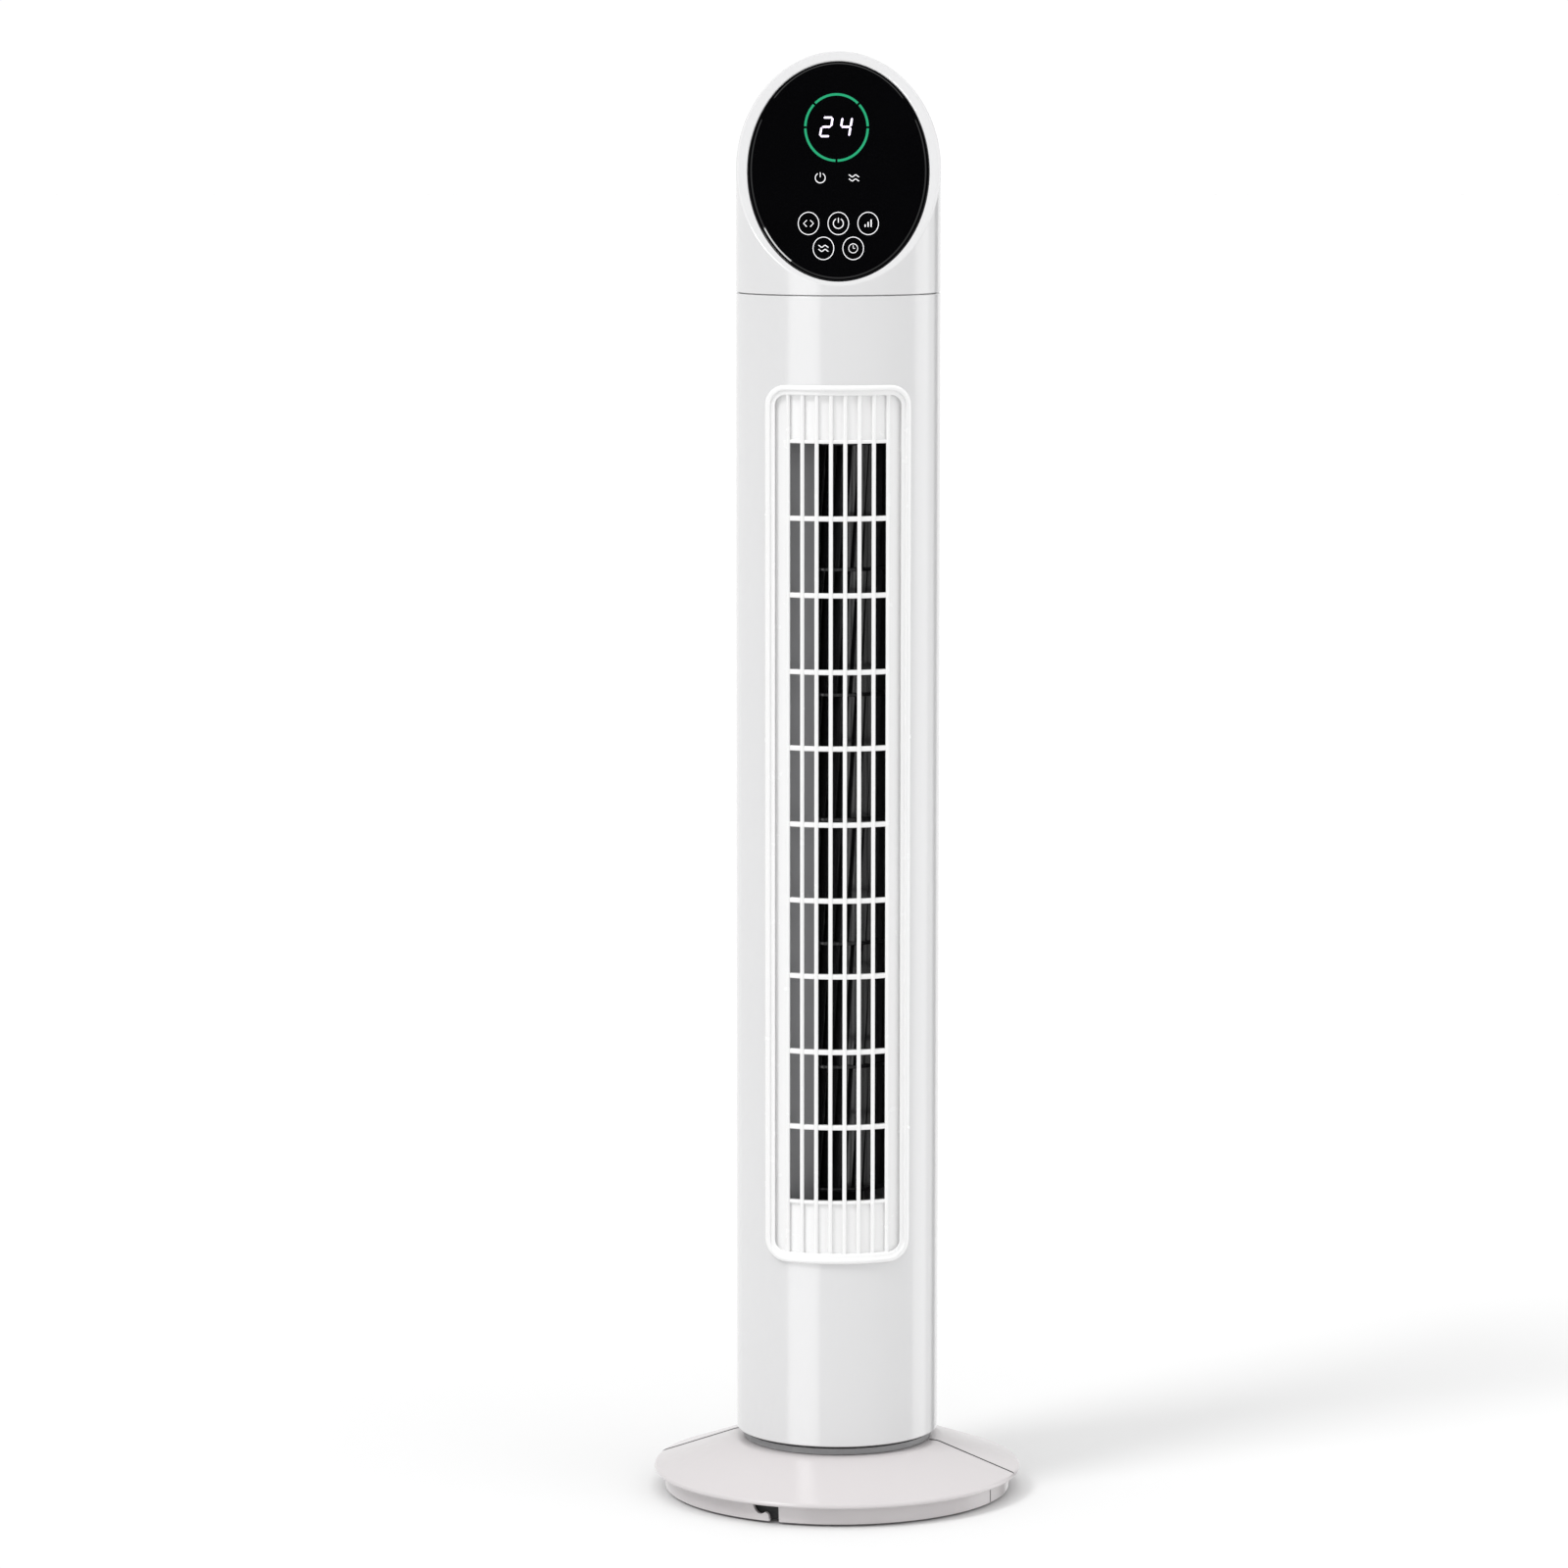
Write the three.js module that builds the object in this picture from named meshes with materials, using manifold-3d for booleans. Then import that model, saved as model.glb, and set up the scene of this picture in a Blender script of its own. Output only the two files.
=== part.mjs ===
// Tower fan, in millimetres: +Z up, front at -Y, right at +X, origin on the floor under the column's axis.
// A two-piece round foot carries a column that swings to and fro; a tall cross-flow impeller spins in it.

import * as THREE from 'three';
import { mergeVertices } from 'three/addons/utils/BufferGeometryUtils.js';
import Module from 'manifold-3d';

const wasm = await Module();
wasm.setup();

// Driving dimensions.
const HEIGHT = 914;
const COLUMN_RADIUS = 64;
const WALL = 2.4;
const GAP = 0.3;
const COLUMN_BOTTOM = 40;
const HEAD_SEAM = 764;

const foot = {
  turn: -15,
  rimRadius: 117.3,
  skirtRadius: 110,
  skirtBottom: 1.5,
  rimBottom: 12.8,
  rimTop: 15.8,
  coneTop: 34,
  coneTopRadius: 66,
  plateThickness: 2.6,
  holeRadius: 14.5,
  padRadius: 7,
  padHeight: 2.2,
  padCircle: 97,
  notchTurn: -9,
  notchWidth: 18.4,
};

const hub = {
  flangeRadius: 60,
  flangeBottom: 34.3,
  flangeTop: 38,
  tubeRadius: 14,
  boreRadius: 9,
  tubeBottom: 26,
  tubeTop: 56,
  screwCircle: 46,
  slipInner: 36,
  slipOuter: 52,
  nutRadius: 20,
  nutHeight: 5.2,
  cordRadius: 4,
};

const swing = { module: 1, gearTeeth: 48, pinionTeeth: 12, gearBottom: 43.5, gearTop: 49.8, play: 0.3 };
const PINION_X = (swing.module * (swing.gearTeeth + swing.pinionTeeth)) / 2 + swing.play;

const drive = {
  plateThickness: 3,
  postSpread: 27,
  postRadius: 4,
  bridgeWidth: 20,
  bridgeLength: 62,
  bridgeBottom: 57,
  bridgeThickness: 2.7,
  shaftHole: 3.2,
  motorRadius: 21,
  motorBottom: 60,
  motorHeight: 14,
  shaftDepth: 10,
  shaftRadius: 2.5,
};

const SPLIT_BEHIND = 1.5;
const SHELL_SPLIT = 91.4;

const grille = {
  centre: 433.25,
  outerWidth: 91,
  outerHeight: 551.5,
  outerCorner: 13,
  innerWidth: 78,
  innerHeight: 541,
  innerCorner: 7,
  windowWidth: 87.4,
  windowHeight: 548,
  lipRadius: 66.6,
  ribPitch: 8.85,
  ribCount: 8,
  ribWidth: 2.6,
  ribFront: 64.6,
  panelFront: 62.2,
  panelBack: 60,
  openingBottom: 196.3,
  openingTop: 674,
  crossbars: 9,
  crossbarHeight: 3.2,
};

const intake = { slots: 13, rows: 5, slotAngle: 5.2, bottom: 182, top: 666, bar: 5, facets: 23 };

const fan = {
  y: 6,
  radius: 36,
  innerRadius: 27,
  blades: 16,
  bladeThickness: 1.2,
  bladeSweep: 13,
  segments: 6,
  bottom: 197,
  top: 672,
  disc: 2.4,
};

const neck = { innerRadius: 58.6, bottom: 751, top: 769 };

const duct = {
  floor: 150,
  ceiling: 690,
  plate: 3,
  plateRadius: 61.2,
  ceilingRadius: 58.8,
  wall: 2,
  shaftHole: 10,
  seatHole: 9,
  postRadius: 3,
  postX: 34,
  postY: 24,
  outletX: 32.4,
  outletY: -47.3,
};

// The fan motor and its stator. The can hangs from the duct's floor on three rubber dampers.
const motor = {
  bottom: 88,
  top: 138,
  radius: 40,
  wall: 1.5,
  shaftHole: 4.7,
  mountCircle: 46,
  lugRadius: 7,
  lugHole: 2.8,
  lugBottom: 134,
  lugTop: 137,
  floorHole: 2.4,
  shaftRadius: 4,
  shaftBottom: 91,
  shaftTop: 196,
  rotorRadius: 24.8,
  coreBottom: 100,
  coreTop: 126,
  coreInner: 25.5,
  coreOuter: 38,
  coilInner: 27,
  coilOuter: 36,
  coilOverhang: 6,
};

const topBearing = {
  bottom: 686.5,
  top: 696.5,
  boreRadius: 3.4,
  radius: 5.2,
  seatRadius: 10.5,
  axleRadius: 3,
};

const impellerHub = { bottom: 184, top: 196.5, boreRadius: 4.3, radius: 13.1 };

const electronics = { boardBottom: 712.3, boardThickness: 1.6, partsBottom: 714.2 };

const panel = {
  slope: 41,
  frontFoot: 770.5,
  centreHeight: 840.6,
  halfWidth: 56.6,
  halfRise: 67.3,
  thickness: 2.4,
  boardDepth: 12,
  tipRadius: 2.2,
};

const radians = THREE.MathUtils.degToRad;
const RISE = 1 / Math.tan(radians(panel.slope));
const PANEL_Y = -COLUMN_RADIUS + (panel.centreHeight - panel.frontFoot) / RISE;
const PANEL_HALF_LENGTH = panel.halfRise / Math.cos(radians(panel.slope));

const finishes = {
  whitePlastic: { color: 0xe8e8ea, roughness: 0.3, metalness: 0 },
  footPlastic: { color: 0xe6e2e3, roughness: 0.32, metalness: 0 },
  blackGloss: { color: 0x050506, roughness: 0.06, metalness: 0 },
  blackPlastic: { color: 0x141416, roughness: 0.35, metalness: 0 },
  greyPlastic: { color: 0x5c5e61, roughness: 0.55, metalness: 0 },
  naturalPlastic: { color: 0xd8d3c4, roughness: 0.5, metalness: 0 },
  rubber: { color: 0x1b1b1c, roughness: 0.85, metalness: 0 },
  steel: { color: 0x9fa3a8, roughness: 0.35, metalness: 1 },
  copper: { color: 0x9a5230, roughness: 0.5, metalness: 0.6 },
  bronze: { color: 0x8a6a3c, roughness: 0.5, metalness: 1 },
  board: { color: 0x1f5a36, roughness: 0.6, metalness: 0 },
  lightGuide: { color: 0x18b87a, roughness: 0.4, metalness: 0 },
  digits: { color: 0xf1e9ff, roughness: 0.4, metalness: 0 },
};

// Solids from three.js geometries.

function signedVolume(positions, triangles) {
  let six = 0;
  const corner = (i) => new THREE.Vector3().fromArray(positions, 3 * i);
  for (let i = 0; i < triangles.length; i += 3) {
    const [a, b, c] = [corner(triangles[i]), corner(triangles[i + 1]), corner(triangles[i + 2])];
    six += a.dot(b.cross(c));
  }
  return six;
}

// Welds a geometry, drops its collapsed triangles and turns its faces outwards.
function solid(geometry) {
  geometry.deleteAttribute('normal');
  geometry.deleteAttribute('uv');
  const welded = mergeVertices(geometry, 1e-4);
  const index = welded.index.array;
  const positions = new Float32Array(welded.attributes.position.array);
  const triangles = [];
  for (let i = 0; i < index.length; i += 3) {
    const [a, b, c] = [index[i], index[i + 1], index[i + 2]];
    if (a !== b && b !== c && c !== a) triangles.push(a, b, c);
  }
  if (signedVolume(positions, triangles) < 0) triangles.reverse();
  return new wasm.Manifold(
    new wasm.Mesh({ numProp: 3, vertProperties: positions, triVerts: new Uint32Array(triangles) }),
  );
}

function geometryOf(body) {
  const { vertProperties, triVerts } = body.getMesh();
  const geometry = new THREE.BufferGeometry();
  geometry.setAttribute('position', new THREE.BufferAttribute(new Float32Array(vertProperties), 3));
  geometry.setIndex(new THREE.BufferAttribute(new Uint32Array(triVerts), 1));
  geometry.computeVertexNormals();
  return geometry;
}

const join = (first, ...others) => others.reduce((whole, other) => whole.add(other), first);
const cut = (first, ...others) => others.reduce((whole, other) => whole.subtract(other), first);

function outline(points) {
  return new THREE.Shape(points.map(([a, b]) => new THREE.Vector2(a, b)));
}

function extrude(shape, depth, curveSegments) {
  return new THREE.ExtrudeGeometry(shape, { depth, bevelEnabled: false, curveSegments });
}

// A shape drawn in plan (x, y), standing from one height to another.
function upright(shape, bottom, top, curveSegments = 12) {
  return solid(extrude(shape, top - bottom, curveSegments).translate(0, 0, bottom));
}

// A shape drawn as seen from the front (x, z), running from front to back.
function frontOn(shape, front, back, curveSegments = 12) {
  return solid(extrude(shape, back - front, curveSegments).rotateX(Math.PI / 2).translate(0, back, 0));
}

// A shape drawn as seen from the side (y, z), running from left to right.
function sideOn(shape, halfWidth, curveSegments = 12) {
  const axes = new THREE.Matrix4().makeBasis(
    new THREE.Vector3(0, 1, 0),
    new THREE.Vector3(0, 0, 1),
    new THREE.Vector3(1, 0, 0),
  );
  return solid(extrude(shape, 2 * halfWidth, curveSegments).applyMatrix4(axes).translate(-halfWidth, 0, 0));
}

// A profile of (radius, height) points turned about the upright axis. It closes on itself off the axis.
function turned(profile, segments, x = 0, y = 0) {
  const points = profile.map(([radius, height]) => new THREE.Vector2(radius, height));
  const onAxis = profile[0][0] === 0 && profile.at(-1)[0] === 0;
  if (!onAxis) points.push(points[0].clone());
  return solid(new THREE.LatheGeometry(points, segments).rotateX(Math.PI / 2).translate(x, y, 0));
}

function disc(radius, bottom, top, segments, x = 0, y = 0) {
  const middle = (bottom + top) / 2;
  const cylinder = new THREE.CylinderGeometry(radius, radius, top - bottom, segments);
  return solid(cylinder.rotateX(Math.PI / 2).translate(x, y, middle));
}

function ring(inner, outer, bottom, top, segments, x = 0, y = 0) {
  const profile = [[inner, bottom], [outer, bottom], [outer, top], [inner, top]];
  return turned(profile, segments, x, y);
}

function block(width, depth, height, x, y, bottom) {
  return solid(new THREE.BoxGeometry(width, depth, height).translate(x, y, bottom + height / 2));
}

// A plan sector of a ring. Bearings count from the front, positive towards the right.
function sector(inner, outer, from, to) {
  const shape = new THREE.Shape();
  shape.absarc(0, 0, outer, radians(from - 90), radians(to - 90), false);
  shape.absarc(0, 0, inner, radians(to - 90), radians(from - 90), true);
  return shape;
}

function roundedRectangle(width, height, corner, centreHeight) {
  const [x, z] = [width / 2 - corner, height / 2 - corner];
  const shape = new THREE.Shape();
  shape.absarc(x, centreHeight + z, corner, 0, Math.PI / 2, false);
  shape.absarc(-x, centreHeight + z, corner, Math.PI / 2, Math.PI, false);
  shape.absarc(-x, centreHeight - z, corner, Math.PI, 1.5 * Math.PI, false);
  shape.absarc(x, centreHeight - z, corner, 1.5 * Math.PI, 2 * Math.PI, false);
  return shape;
}

function ellipse(halfWidth, halfHeight, x = 0, y = 0) {
  const shape = new THREE.Shape();
  shape.absellipse(x, y, halfWidth, halfHeight, 0, 2 * Math.PI, false);
  return shape;
}

function polar(radius, degrees) {
  return [radius * Math.cos(radians(degrees)), radius * Math.sin(radians(degrees))];
}

function addPart(parent, name, body, finish) {
  const mesh = new THREE.Mesh(geometryOf(body), new THREE.MeshStandardMaterial(finish));
  mesh.name = name;
  parent.add(mesh);
  return mesh;
}

// Copies of one body on a circle, numbered from 1, at the given bearings about the parent's axis.
function addAround(parent, name, body, finish, bearings) {
  bearings.forEach((bearing, i) => {
    addPart(parent, `${name}_${i + 1}`, body, finish).rotation.z = radians(bearing);
  });
}

// Foot: two equal half mouldings, six pads, and the screws that hold them to the hub.

function footSolid() {
  const { coneTopRadius, coneTop, rimRadius, rimTop, rimBottom, skirtRadius, skirtBottom } = foot;
  return [
    [coneTopRadius, coneTop],
    [rimRadius - 2.4, rimTop + 0.5],
    [rimRadius, rimTop - 1.4],
    [rimRadius - 0.2, rimBottom + 0.7],
    [rimRadius - 1.6, rimBottom],
    [skirtRadius, rimBottom],
    [skirtRadius, skirtBottom],
  ];
}

function cordNotch() {
  const shape = new THREE.Shape();
  const left = -foot.notchWidth / 2;
  shape.moveTo(left + 11.4, 0);
  shape.quadraticCurveTo(left + 12.4, 7, left + 8.7, 7.2);
  shape.quadraticCurveTo(left + 7, 5.6, left + 5, 5.9);
  shape.quadraticCurveTo(left + 1.4, 6.6, left, 12.7);
  shape.lineTo(left + 18, 12.7);
  shape.lineTo(left + foot.notchWidth, 0);
  const cutter = frontOn(shape, -foot.skirtRadius - 5, -foot.skirtRadius + 8, 4);
  return cutter.rotate([0, 0, foot.notchTurn]);
}

function footHalf() {
  const { holeRadius, coneTop, coneTopRadius, plateThickness, skirtRadius, skirtBottom, rimTop } = foot;
  const under = coneTop - plateThickness;
  const skirtInner = skirtRadius - WALL;
  const shellProfile = [
    [holeRadius, coneTop],
    ...footSolid(),
    [skirtInner, skirtBottom],
    [skirtInner, rimTop],
    [coneTopRadius, under],
    [holeRadius, under],
  ];
  const filledProfile = [[0, coneTop], ...footSolid(), [0, skirtBottom]];
  const bosses = footPadBearings().map((bearing) => {
    const [x, y] = polar(foot.padCircle, bearing);
    return disc(foot.padRadius + 1.5, foot.padHeight + GAP, rimTop + 10, 10, x, y);
  });
  const stiffener = ring(52, 54, 20, coneTop - 1, 24);
  const shell = turned(shellProfile, 44);
  const inside = turned(filledProfile, 44);
  const whole = join(shell, stiffener, ...bosses.map((boss) => boss.intersect(inside)));
  const screwHoles = [-135, -45].map((bearing) => {
    const [x, y] = polar(hub.screwCircle, bearing);
    return disc(2.1, under - 1, coneTop + 1, 8, x, y);
  });
  const frontSide = block(260, 130, 60, 0, -65 - GAP / 2, -5);
  return cut(whole.intersect(frontSide), cordNotch(), ...screwHoles);
}

function footPadBearings() {
  return [-150, -90, -30];
}

function addFoot(parent) {
  const half = footHalf();
  addPart(parent, 'base_front_half', half, finishes.footPlastic);
  addPart(parent, 'base_rear_half', half, finishes.footPlastic).rotation.z = Math.PI;
  const pad = disc(foot.padRadius, 0, foot.padHeight, 16, foot.padCircle, 0);
  const bearings = [...footPadBearings(), ...footPadBearings().map((bearing) => bearing + 180)];
  addAround(parent, 'foot_pad', pad, finishes.rubber, bearings);
  const under = foot.coneTop - foot.plateThickness;
  const screw = turned(
    [[0, under - 2.8], [3.8, under - 2.8], [3.8, under - GAP], [1.6, under - GAP], [1.6, 37], [0, 37]],
    10,
    hub.screwCircle,
  );
  addAround(parent, 'base_screw', screw, finishes.steel, [-135, -45, 45, 135]);
}

// Hub: the fixed spindle that the column swings on.

function hubBody() {
  const { flangeRadius, flangeBottom, flangeTop, tubeRadius, boreRadius, tubeBottom, tubeTop } = hub;
  const profile = [
    [boreRadius, tubeBottom],
    [tubeRadius, tubeBottom],
    [tubeRadius, flangeBottom],
    [flangeRadius, flangeBottom],
    [flangeRadius, flangeTop],
    [tubeRadius, flangeTop],
    [tubeRadius, tubeTop],
    [boreRadius, tubeTop],
  ];
  const holes = [-135, -45, 45, 135].map((bearing) => {
    const [x, y] = polar(hub.screwCircle, bearing);
    return disc(1.9, flangeBottom - 1, 37.4, 8, x, y);
  });
  return cut(turned(profile, 28), ...holes);
}

// A toothed outline. Teeth are trapezoids, thinned by a quarter so that they mesh with play.
function gearOutline(teeth, firstTooth, lastTooth, hubRadius) {
  const pitchRadius = (swing.module * teeth) / 2;
  const step = 360 / teeth;
  const tip = pitchRadius + 0.9 * swing.module;
  const root = pitchRadius - 1.25 * swing.module;
  const points = [];
  for (let tooth = firstTooth; tooth <= lastTooth; tooth += 1) {
    const middle = tooth * step;
    const corners = [[root, -0.3], [tip, -0.1], [tip, 0.1], [root, 0.3]];
    corners.forEach(([radius, share]) => points.push(polar(radius, middle + share * step)));
  }
  if (hubRadius > 0) {
    const from = (lastTooth + 0.5) * step;
    const to = (firstTooth - 0.5) * step + 360;
    for (let i = 0; i <= 12; i += 1) points.push(polar(hubRadius, from + ((to - from) * i) / 12));
  }
  return outline(points);
}

function ringGearBody() {
  const toothed = upright(gearOutline(swing.gearTeeth, -8, 8, 19), swing.gearBottom, swing.gearTop);
  return cut(toothed, disc(hub.tubeRadius + GAP, 40, 60, 32));
}

function addHub(parent) {
  addPart(parent, 'pivot_hub', hubBody(), finishes.greyPlastic);
  const slip = ring(hub.slipInner, hub.slipOuter, hub.flangeTop + GAP, COLUMN_BOTTOM - GAP, 24);
  addPart(parent, 'slip_ring', slip, finishes.naturalPlastic);
  addPart(parent, 'ring_gear', ringGearBody(), finishes.naturalPlastic);
  const inner = disc(hub.tubeRadius + GAP, COLUMN_BOTTOM, hub.tubeTop + 4, 32);
  const nut = disc(hub.nutRadius, swing.gearTop + GAP, swing.gearTop + hub.nutHeight, 6);
  addPart(parent, 'hub_nut', cut(nut, inner), finishes.blackPlastic);
  const neckRadius = hub.boreRadius - 0.4;
  const flangeTop = hub.tubeBottom - GAP;
  const gland = turned(
    [
      [hub.cordRadius, flangeTop - 3.2],
      [hub.tubeRadius - 1, flangeTop - 3.2],
      [hub.tubeRadius - 1, flangeTop],
      [neckRadius, flangeTop],
      [neckRadius, flangeTop + 6.3],
      [hub.cordRadius, flangeTop + 6.3],
    ],
    20,
  );
  addPart(parent, 'cord_gland', gland, finishes.rubber);
}

// Column: turntable plate, swing drive, shells, grille and duct.

function addTurntable(parent) {
  const hole = hub.tubeRadius + 0.6;
  const plateTop = COLUMN_BOTTOM + drive.plateThickness;
  const plate = ring(hole, duct.plateRadius, COLUMN_BOTTOM, plateTop, 40);
  addPart(parent, 'turntable_plate', plate, finishes.greyPlastic);

  const { bridgeWidth, bridgeLength, bridgeThickness, bridgeBottom, shaftHole } = drive;
  const postTop = bridgeBottom + 1;
  const posts = [-drive.postSpread, drive.postSpread].map((y) => (
    disc(drive.postRadius, plateTop + GAP, postTop, 12, PINION_X, y)
  ));
  const bridge = block(bridgeWidth, bridgeLength, bridgeThickness, PINION_X, 0, bridgeBottom);
  const shaftWay = disc(shaftHole, bridgeBottom - 1, bridgeBottom + 5, 12, PINION_X, 0);
  addPart(parent, 'swing_motor_bracket', cut(join(bridge, ...posts), shaftWay), finishes.steel);

  const { motorBottom, motorHeight, motorRadius, shaftDepth } = drive;
  const motorTop = motorBottom + motorHeight;
  const shaftTop = motorBottom + shaftDepth;
  const motorProfile = [
    [shaftHole, shaftTop],
    [0, shaftTop],
    [0, motorTop],
    [motorRadius, motorTop],
    [motorRadius, motorBottom],
    [shaftHole, motorBottom],
  ];
  addPart(parent, 'swing_motor', turned(motorProfile, 24, PINION_X), finishes.steel);
}

function shellSector(inner, outer, from, to, bottom, top, segments) {
  return upright(sector(inner, outer, from, to), bottom, top, segments);
}

function columnFrontBody() {
  const inner = COLUMN_RADIUS - WALL;
  const top = HEAD_SEAM - GAP;
  const shell = shellSector(inner, COLUMN_RADIUS, -SHELL_SPLIT, SHELL_SPLIT, COLUMN_BOTTOM, top, 24);
  const clearance = 2 * GAP;
  const window = roundedRectangle(
    grille.windowWidth + clearance,
    grille.windowHeight + clearance,
    grille.outerCorner - 2,
    grille.centre,
  );
  return cut(shell, frontOn(window, -80, -30, 4));
}

function columnRearBody() {
  const inner = COLUMN_RADIUS - WALL;
  const from = SHELL_SPLIT + GAP;
  const to = 360 - SHELL_SPLIT - GAP;
  const pitch = (to - from) / intake.facets;
  const top = HEAD_SEAM - GAP;
  const shell = shellSector(inner, COLUMN_RADIUS, from, to, COLUMN_BOTTOM, top, intake.facets);
  const rowPitch = (intake.top - intake.bottom + intake.bar) / intake.rows;
  const slots = [];
  for (let i = 0; i < intake.slots; i += 1) {
    const bearing = 180 + (i - (intake.slots - 1) / 2) * pitch;
    const half = intake.slotAngle / 2;
    const shape = sector(inner - 5, COLUMN_RADIUS + 5, bearing - half, bearing + half);
    for (let row = 0; row < intake.rows; row += 1) {
      const bottom = intake.bottom + row * rowPitch;
      slots.push(upright(shape, bottom, bottom + rowPitch - intake.bar, 1));
    }
  }
  return cut(shell, ...slots, ...caseScrewPlaces().map(caseScrewHole));
}

function caseScrewPlaces() {
  const places = [];
  for (const height of [58, 728]) {
    for (const bearing of [145, 215]) places.push({ height, bearing });
  }
  return places;
}

function caseScrewHole({ height, bearing }) {
  const hole = new THREE.CylinderGeometry(3.8, 3.8, 20, 12).translate(0, -COLUMN_RADIUS, 0);
  return solid(hole.rotateZ(radians(bearing)).translate(0, 0, height));
}

// A pan-head screw that points at the axis, with its head flush in the rear shell.
function caseScrewBody() {
  const profile = [[0, 0], [3.4, 0], [3.4, 2.2], [1.5, 2.2], [1.5, 10], [0, 10]];
  const points = profile.map(([radius, depth]) => new THREE.Vector2(radius, depth));
  return solid(new THREE.LatheGeometry(points, 12).translate(0, -COLUMN_RADIUS + 0.6, 0));
}

function addShells(parent) {
  addPart(parent, 'column_front', columnFrontBody(), finishes.whitePlastic);
  addPart(parent, 'column_rear', columnRearBody(), finishes.whitePlastic);
  const screw = caseScrewBody();
  caseScrewPlaces().forEach(({ height, bearing }, i) => {
    const mesh = addPart(parent, `case_screw_${i + 1}`, screw, finishes.steel);
    mesh.rotation.z = radians(bearing);
    mesh.position.z = height;
  });
  const neckRing = ring(neck.innerRadius, duct.plateRadius, neck.bottom, neck.top, 40);
  addPart(parent, 'neck_ring', neckRing, finishes.whitePlastic);
}

// A curved plate in front of the axis whose facets meet behind the ribs.
function curvedPlate(inner, outer, ribSteps) {
  const reach = [];
  for (let step = -ribSteps; step <= ribSteps; step += 1) reach.push(step * grille.ribPitch);
  const arc = (radius) => reach.map((x) => [x, -Math.sqrt(radius ** 2 - x ** 2)]);
  return outline([...arc(outer), ...arc(inner).reverse()]);
}

function grilleRibs() {
  const ribs = [];
  const bottom = grille.centre - grille.innerHeight / 2 - 1;
  for (let i = 0; i < grille.ribCount; i += 1) {
    const x = (i - (grille.ribCount - 1) / 2) * grille.ribPitch;
    const front = -Math.sqrt(grille.ribFront ** 2 - x ** 2);
    const back = -Math.sqrt(grille.panelBack ** 2 - x ** 2) + 0.4;
    ribs.push(block(grille.ribWidth, back - front, grille.innerHeight + 2, x, (front + back) / 2, bottom));
  }
  return ribs;
}

function grilleCrossbars() {
  const reach = ((grille.ribCount - 1) / 2) * grille.ribPitch;
  const count = grille.ribCount;
  const arc = (radius) => Array.from({ length: count }, (_, i) => {
    const x = -reach + i * grille.ribPitch;
    return [x, -Math.sqrt(radius ** 2 - x ** 2)];
  });
  const plan = outline([...arc(grille.ribFront - 0.8), ...arc(grille.panelBack + 0.2).reverse()]);
  const pitch = (grille.openingTop - grille.openingBottom) / (grille.crossbars + 1);
  return Array.from({ length: grille.crossbars }, (_, i) => {
    const middle = grille.openingBottom + (i + 1) * pitch;
    return upright(plan, middle - grille.crossbarHeight / 2, middle + grille.crossbarHeight / 2);
  });
}

function grilleBody() {
  const { centre, outerWidth, outerHeight, outerCorner, innerWidth, innerHeight, innerCorner } = grille;
  const bottom = centre - outerHeight / 2 - 5;
  const top = centre + outerHeight / 2 + 5;
  const lipPlan = curvedPlate(COLUMN_RADIUS + GAP, grille.lipRadius, 6);
  const spigotPlan = curvedPlate(grille.panelBack, grille.lipRadius - 0.8, 6);
  const panelPlan = curvedPlate(grille.panelBack, grille.panelFront, 6);
  const lipShape = roundedRectangle(outerWidth, outerHeight, outerCorner, centre);
  const holeShape = roundedRectangle(innerWidth, innerHeight, innerCorner, centre);
  const windowShape = roundedRectangle(grille.windowWidth, grille.windowHeight, outerCorner - 2, centre);
  const hole = frontOn(holeShape, -90, -30, 4);
  const windowFill = frontOn(windowShape, -90, -30, 4);
  const lip = cut(upright(lipPlan, bottom, top).intersect(frontOn(lipShape, -90, -30, 4)), hole);
  const spigot = cut(upright(spigotPlan, bottom, top).intersect(windowFill), hole);
  const ribReach = (grille.ribCount - 1) * grille.ribPitch;
  const opening = block(
    ribReach,
    40,
    grille.openingTop - grille.openingBottom,
    0,
    -60,
    grille.openingBottom,
  );
  const backPanel = cut(upright(panelPlan, bottom, top).intersect(windowFill), opening);
  return join(lip, spigot, backPanel, ...grilleRibs(), ...grilleCrossbars());
}

function addDuct(parent) {
  const through = (radius, plateBottom, segments, x, y) => (
    disc(radius, plateBottom - 1, plateBottom + duct.plate + 2, segments, x, fan.y + y)
  );
  const shaftHole = through(duct.shaftHole, duct.floor, 20, 0, 0);
  const damperHoles = damperPlaces().map(([x, y]) => through(motor.floorHole, duct.floor, 10, x, y));
  const floor = disc(duct.plateRadius, duct.floor, duct.floor + duct.plate, 40);
  addPart(parent, 'duct_floor', cut(floor, shaftHole, ...damperHoles), finishes.greyPlastic);

  const ceiling = disc(duct.ceilingRadius, duct.ceiling, duct.ceiling + duct.plate, 40);
  const { postRadius, postX, postY } = duct;
  const posts = [[-postX, -postY], [postX, -postY], [-postX, postY], [postX, postY]].map(([x, y]) => (
    disc(postRadius, duct.ceiling + 2, electronics.boardBottom - GAP, 8, x, y)
  ));
  const seatHole = through(duct.seatHole, duct.ceiling, 20, 0, 0);
  addPart(parent, 'duct_ceiling', cut(join(ceiling, ...posts), seatHole), finishes.greyPlastic);

  const wallBottom = duct.floor + duct.plate + GAP;
  const wallTop = duct.ceiling - GAP;
  addPart(parent, 'scroll_wall', upright(scrollOutline(), wallBottom, wallTop), finishes.greyPlastic);
  addPart(parent, 'tongue_wall', upright(tongueOutline(), wallBottom, wallTop), finishes.greyPlastic);
}

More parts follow.
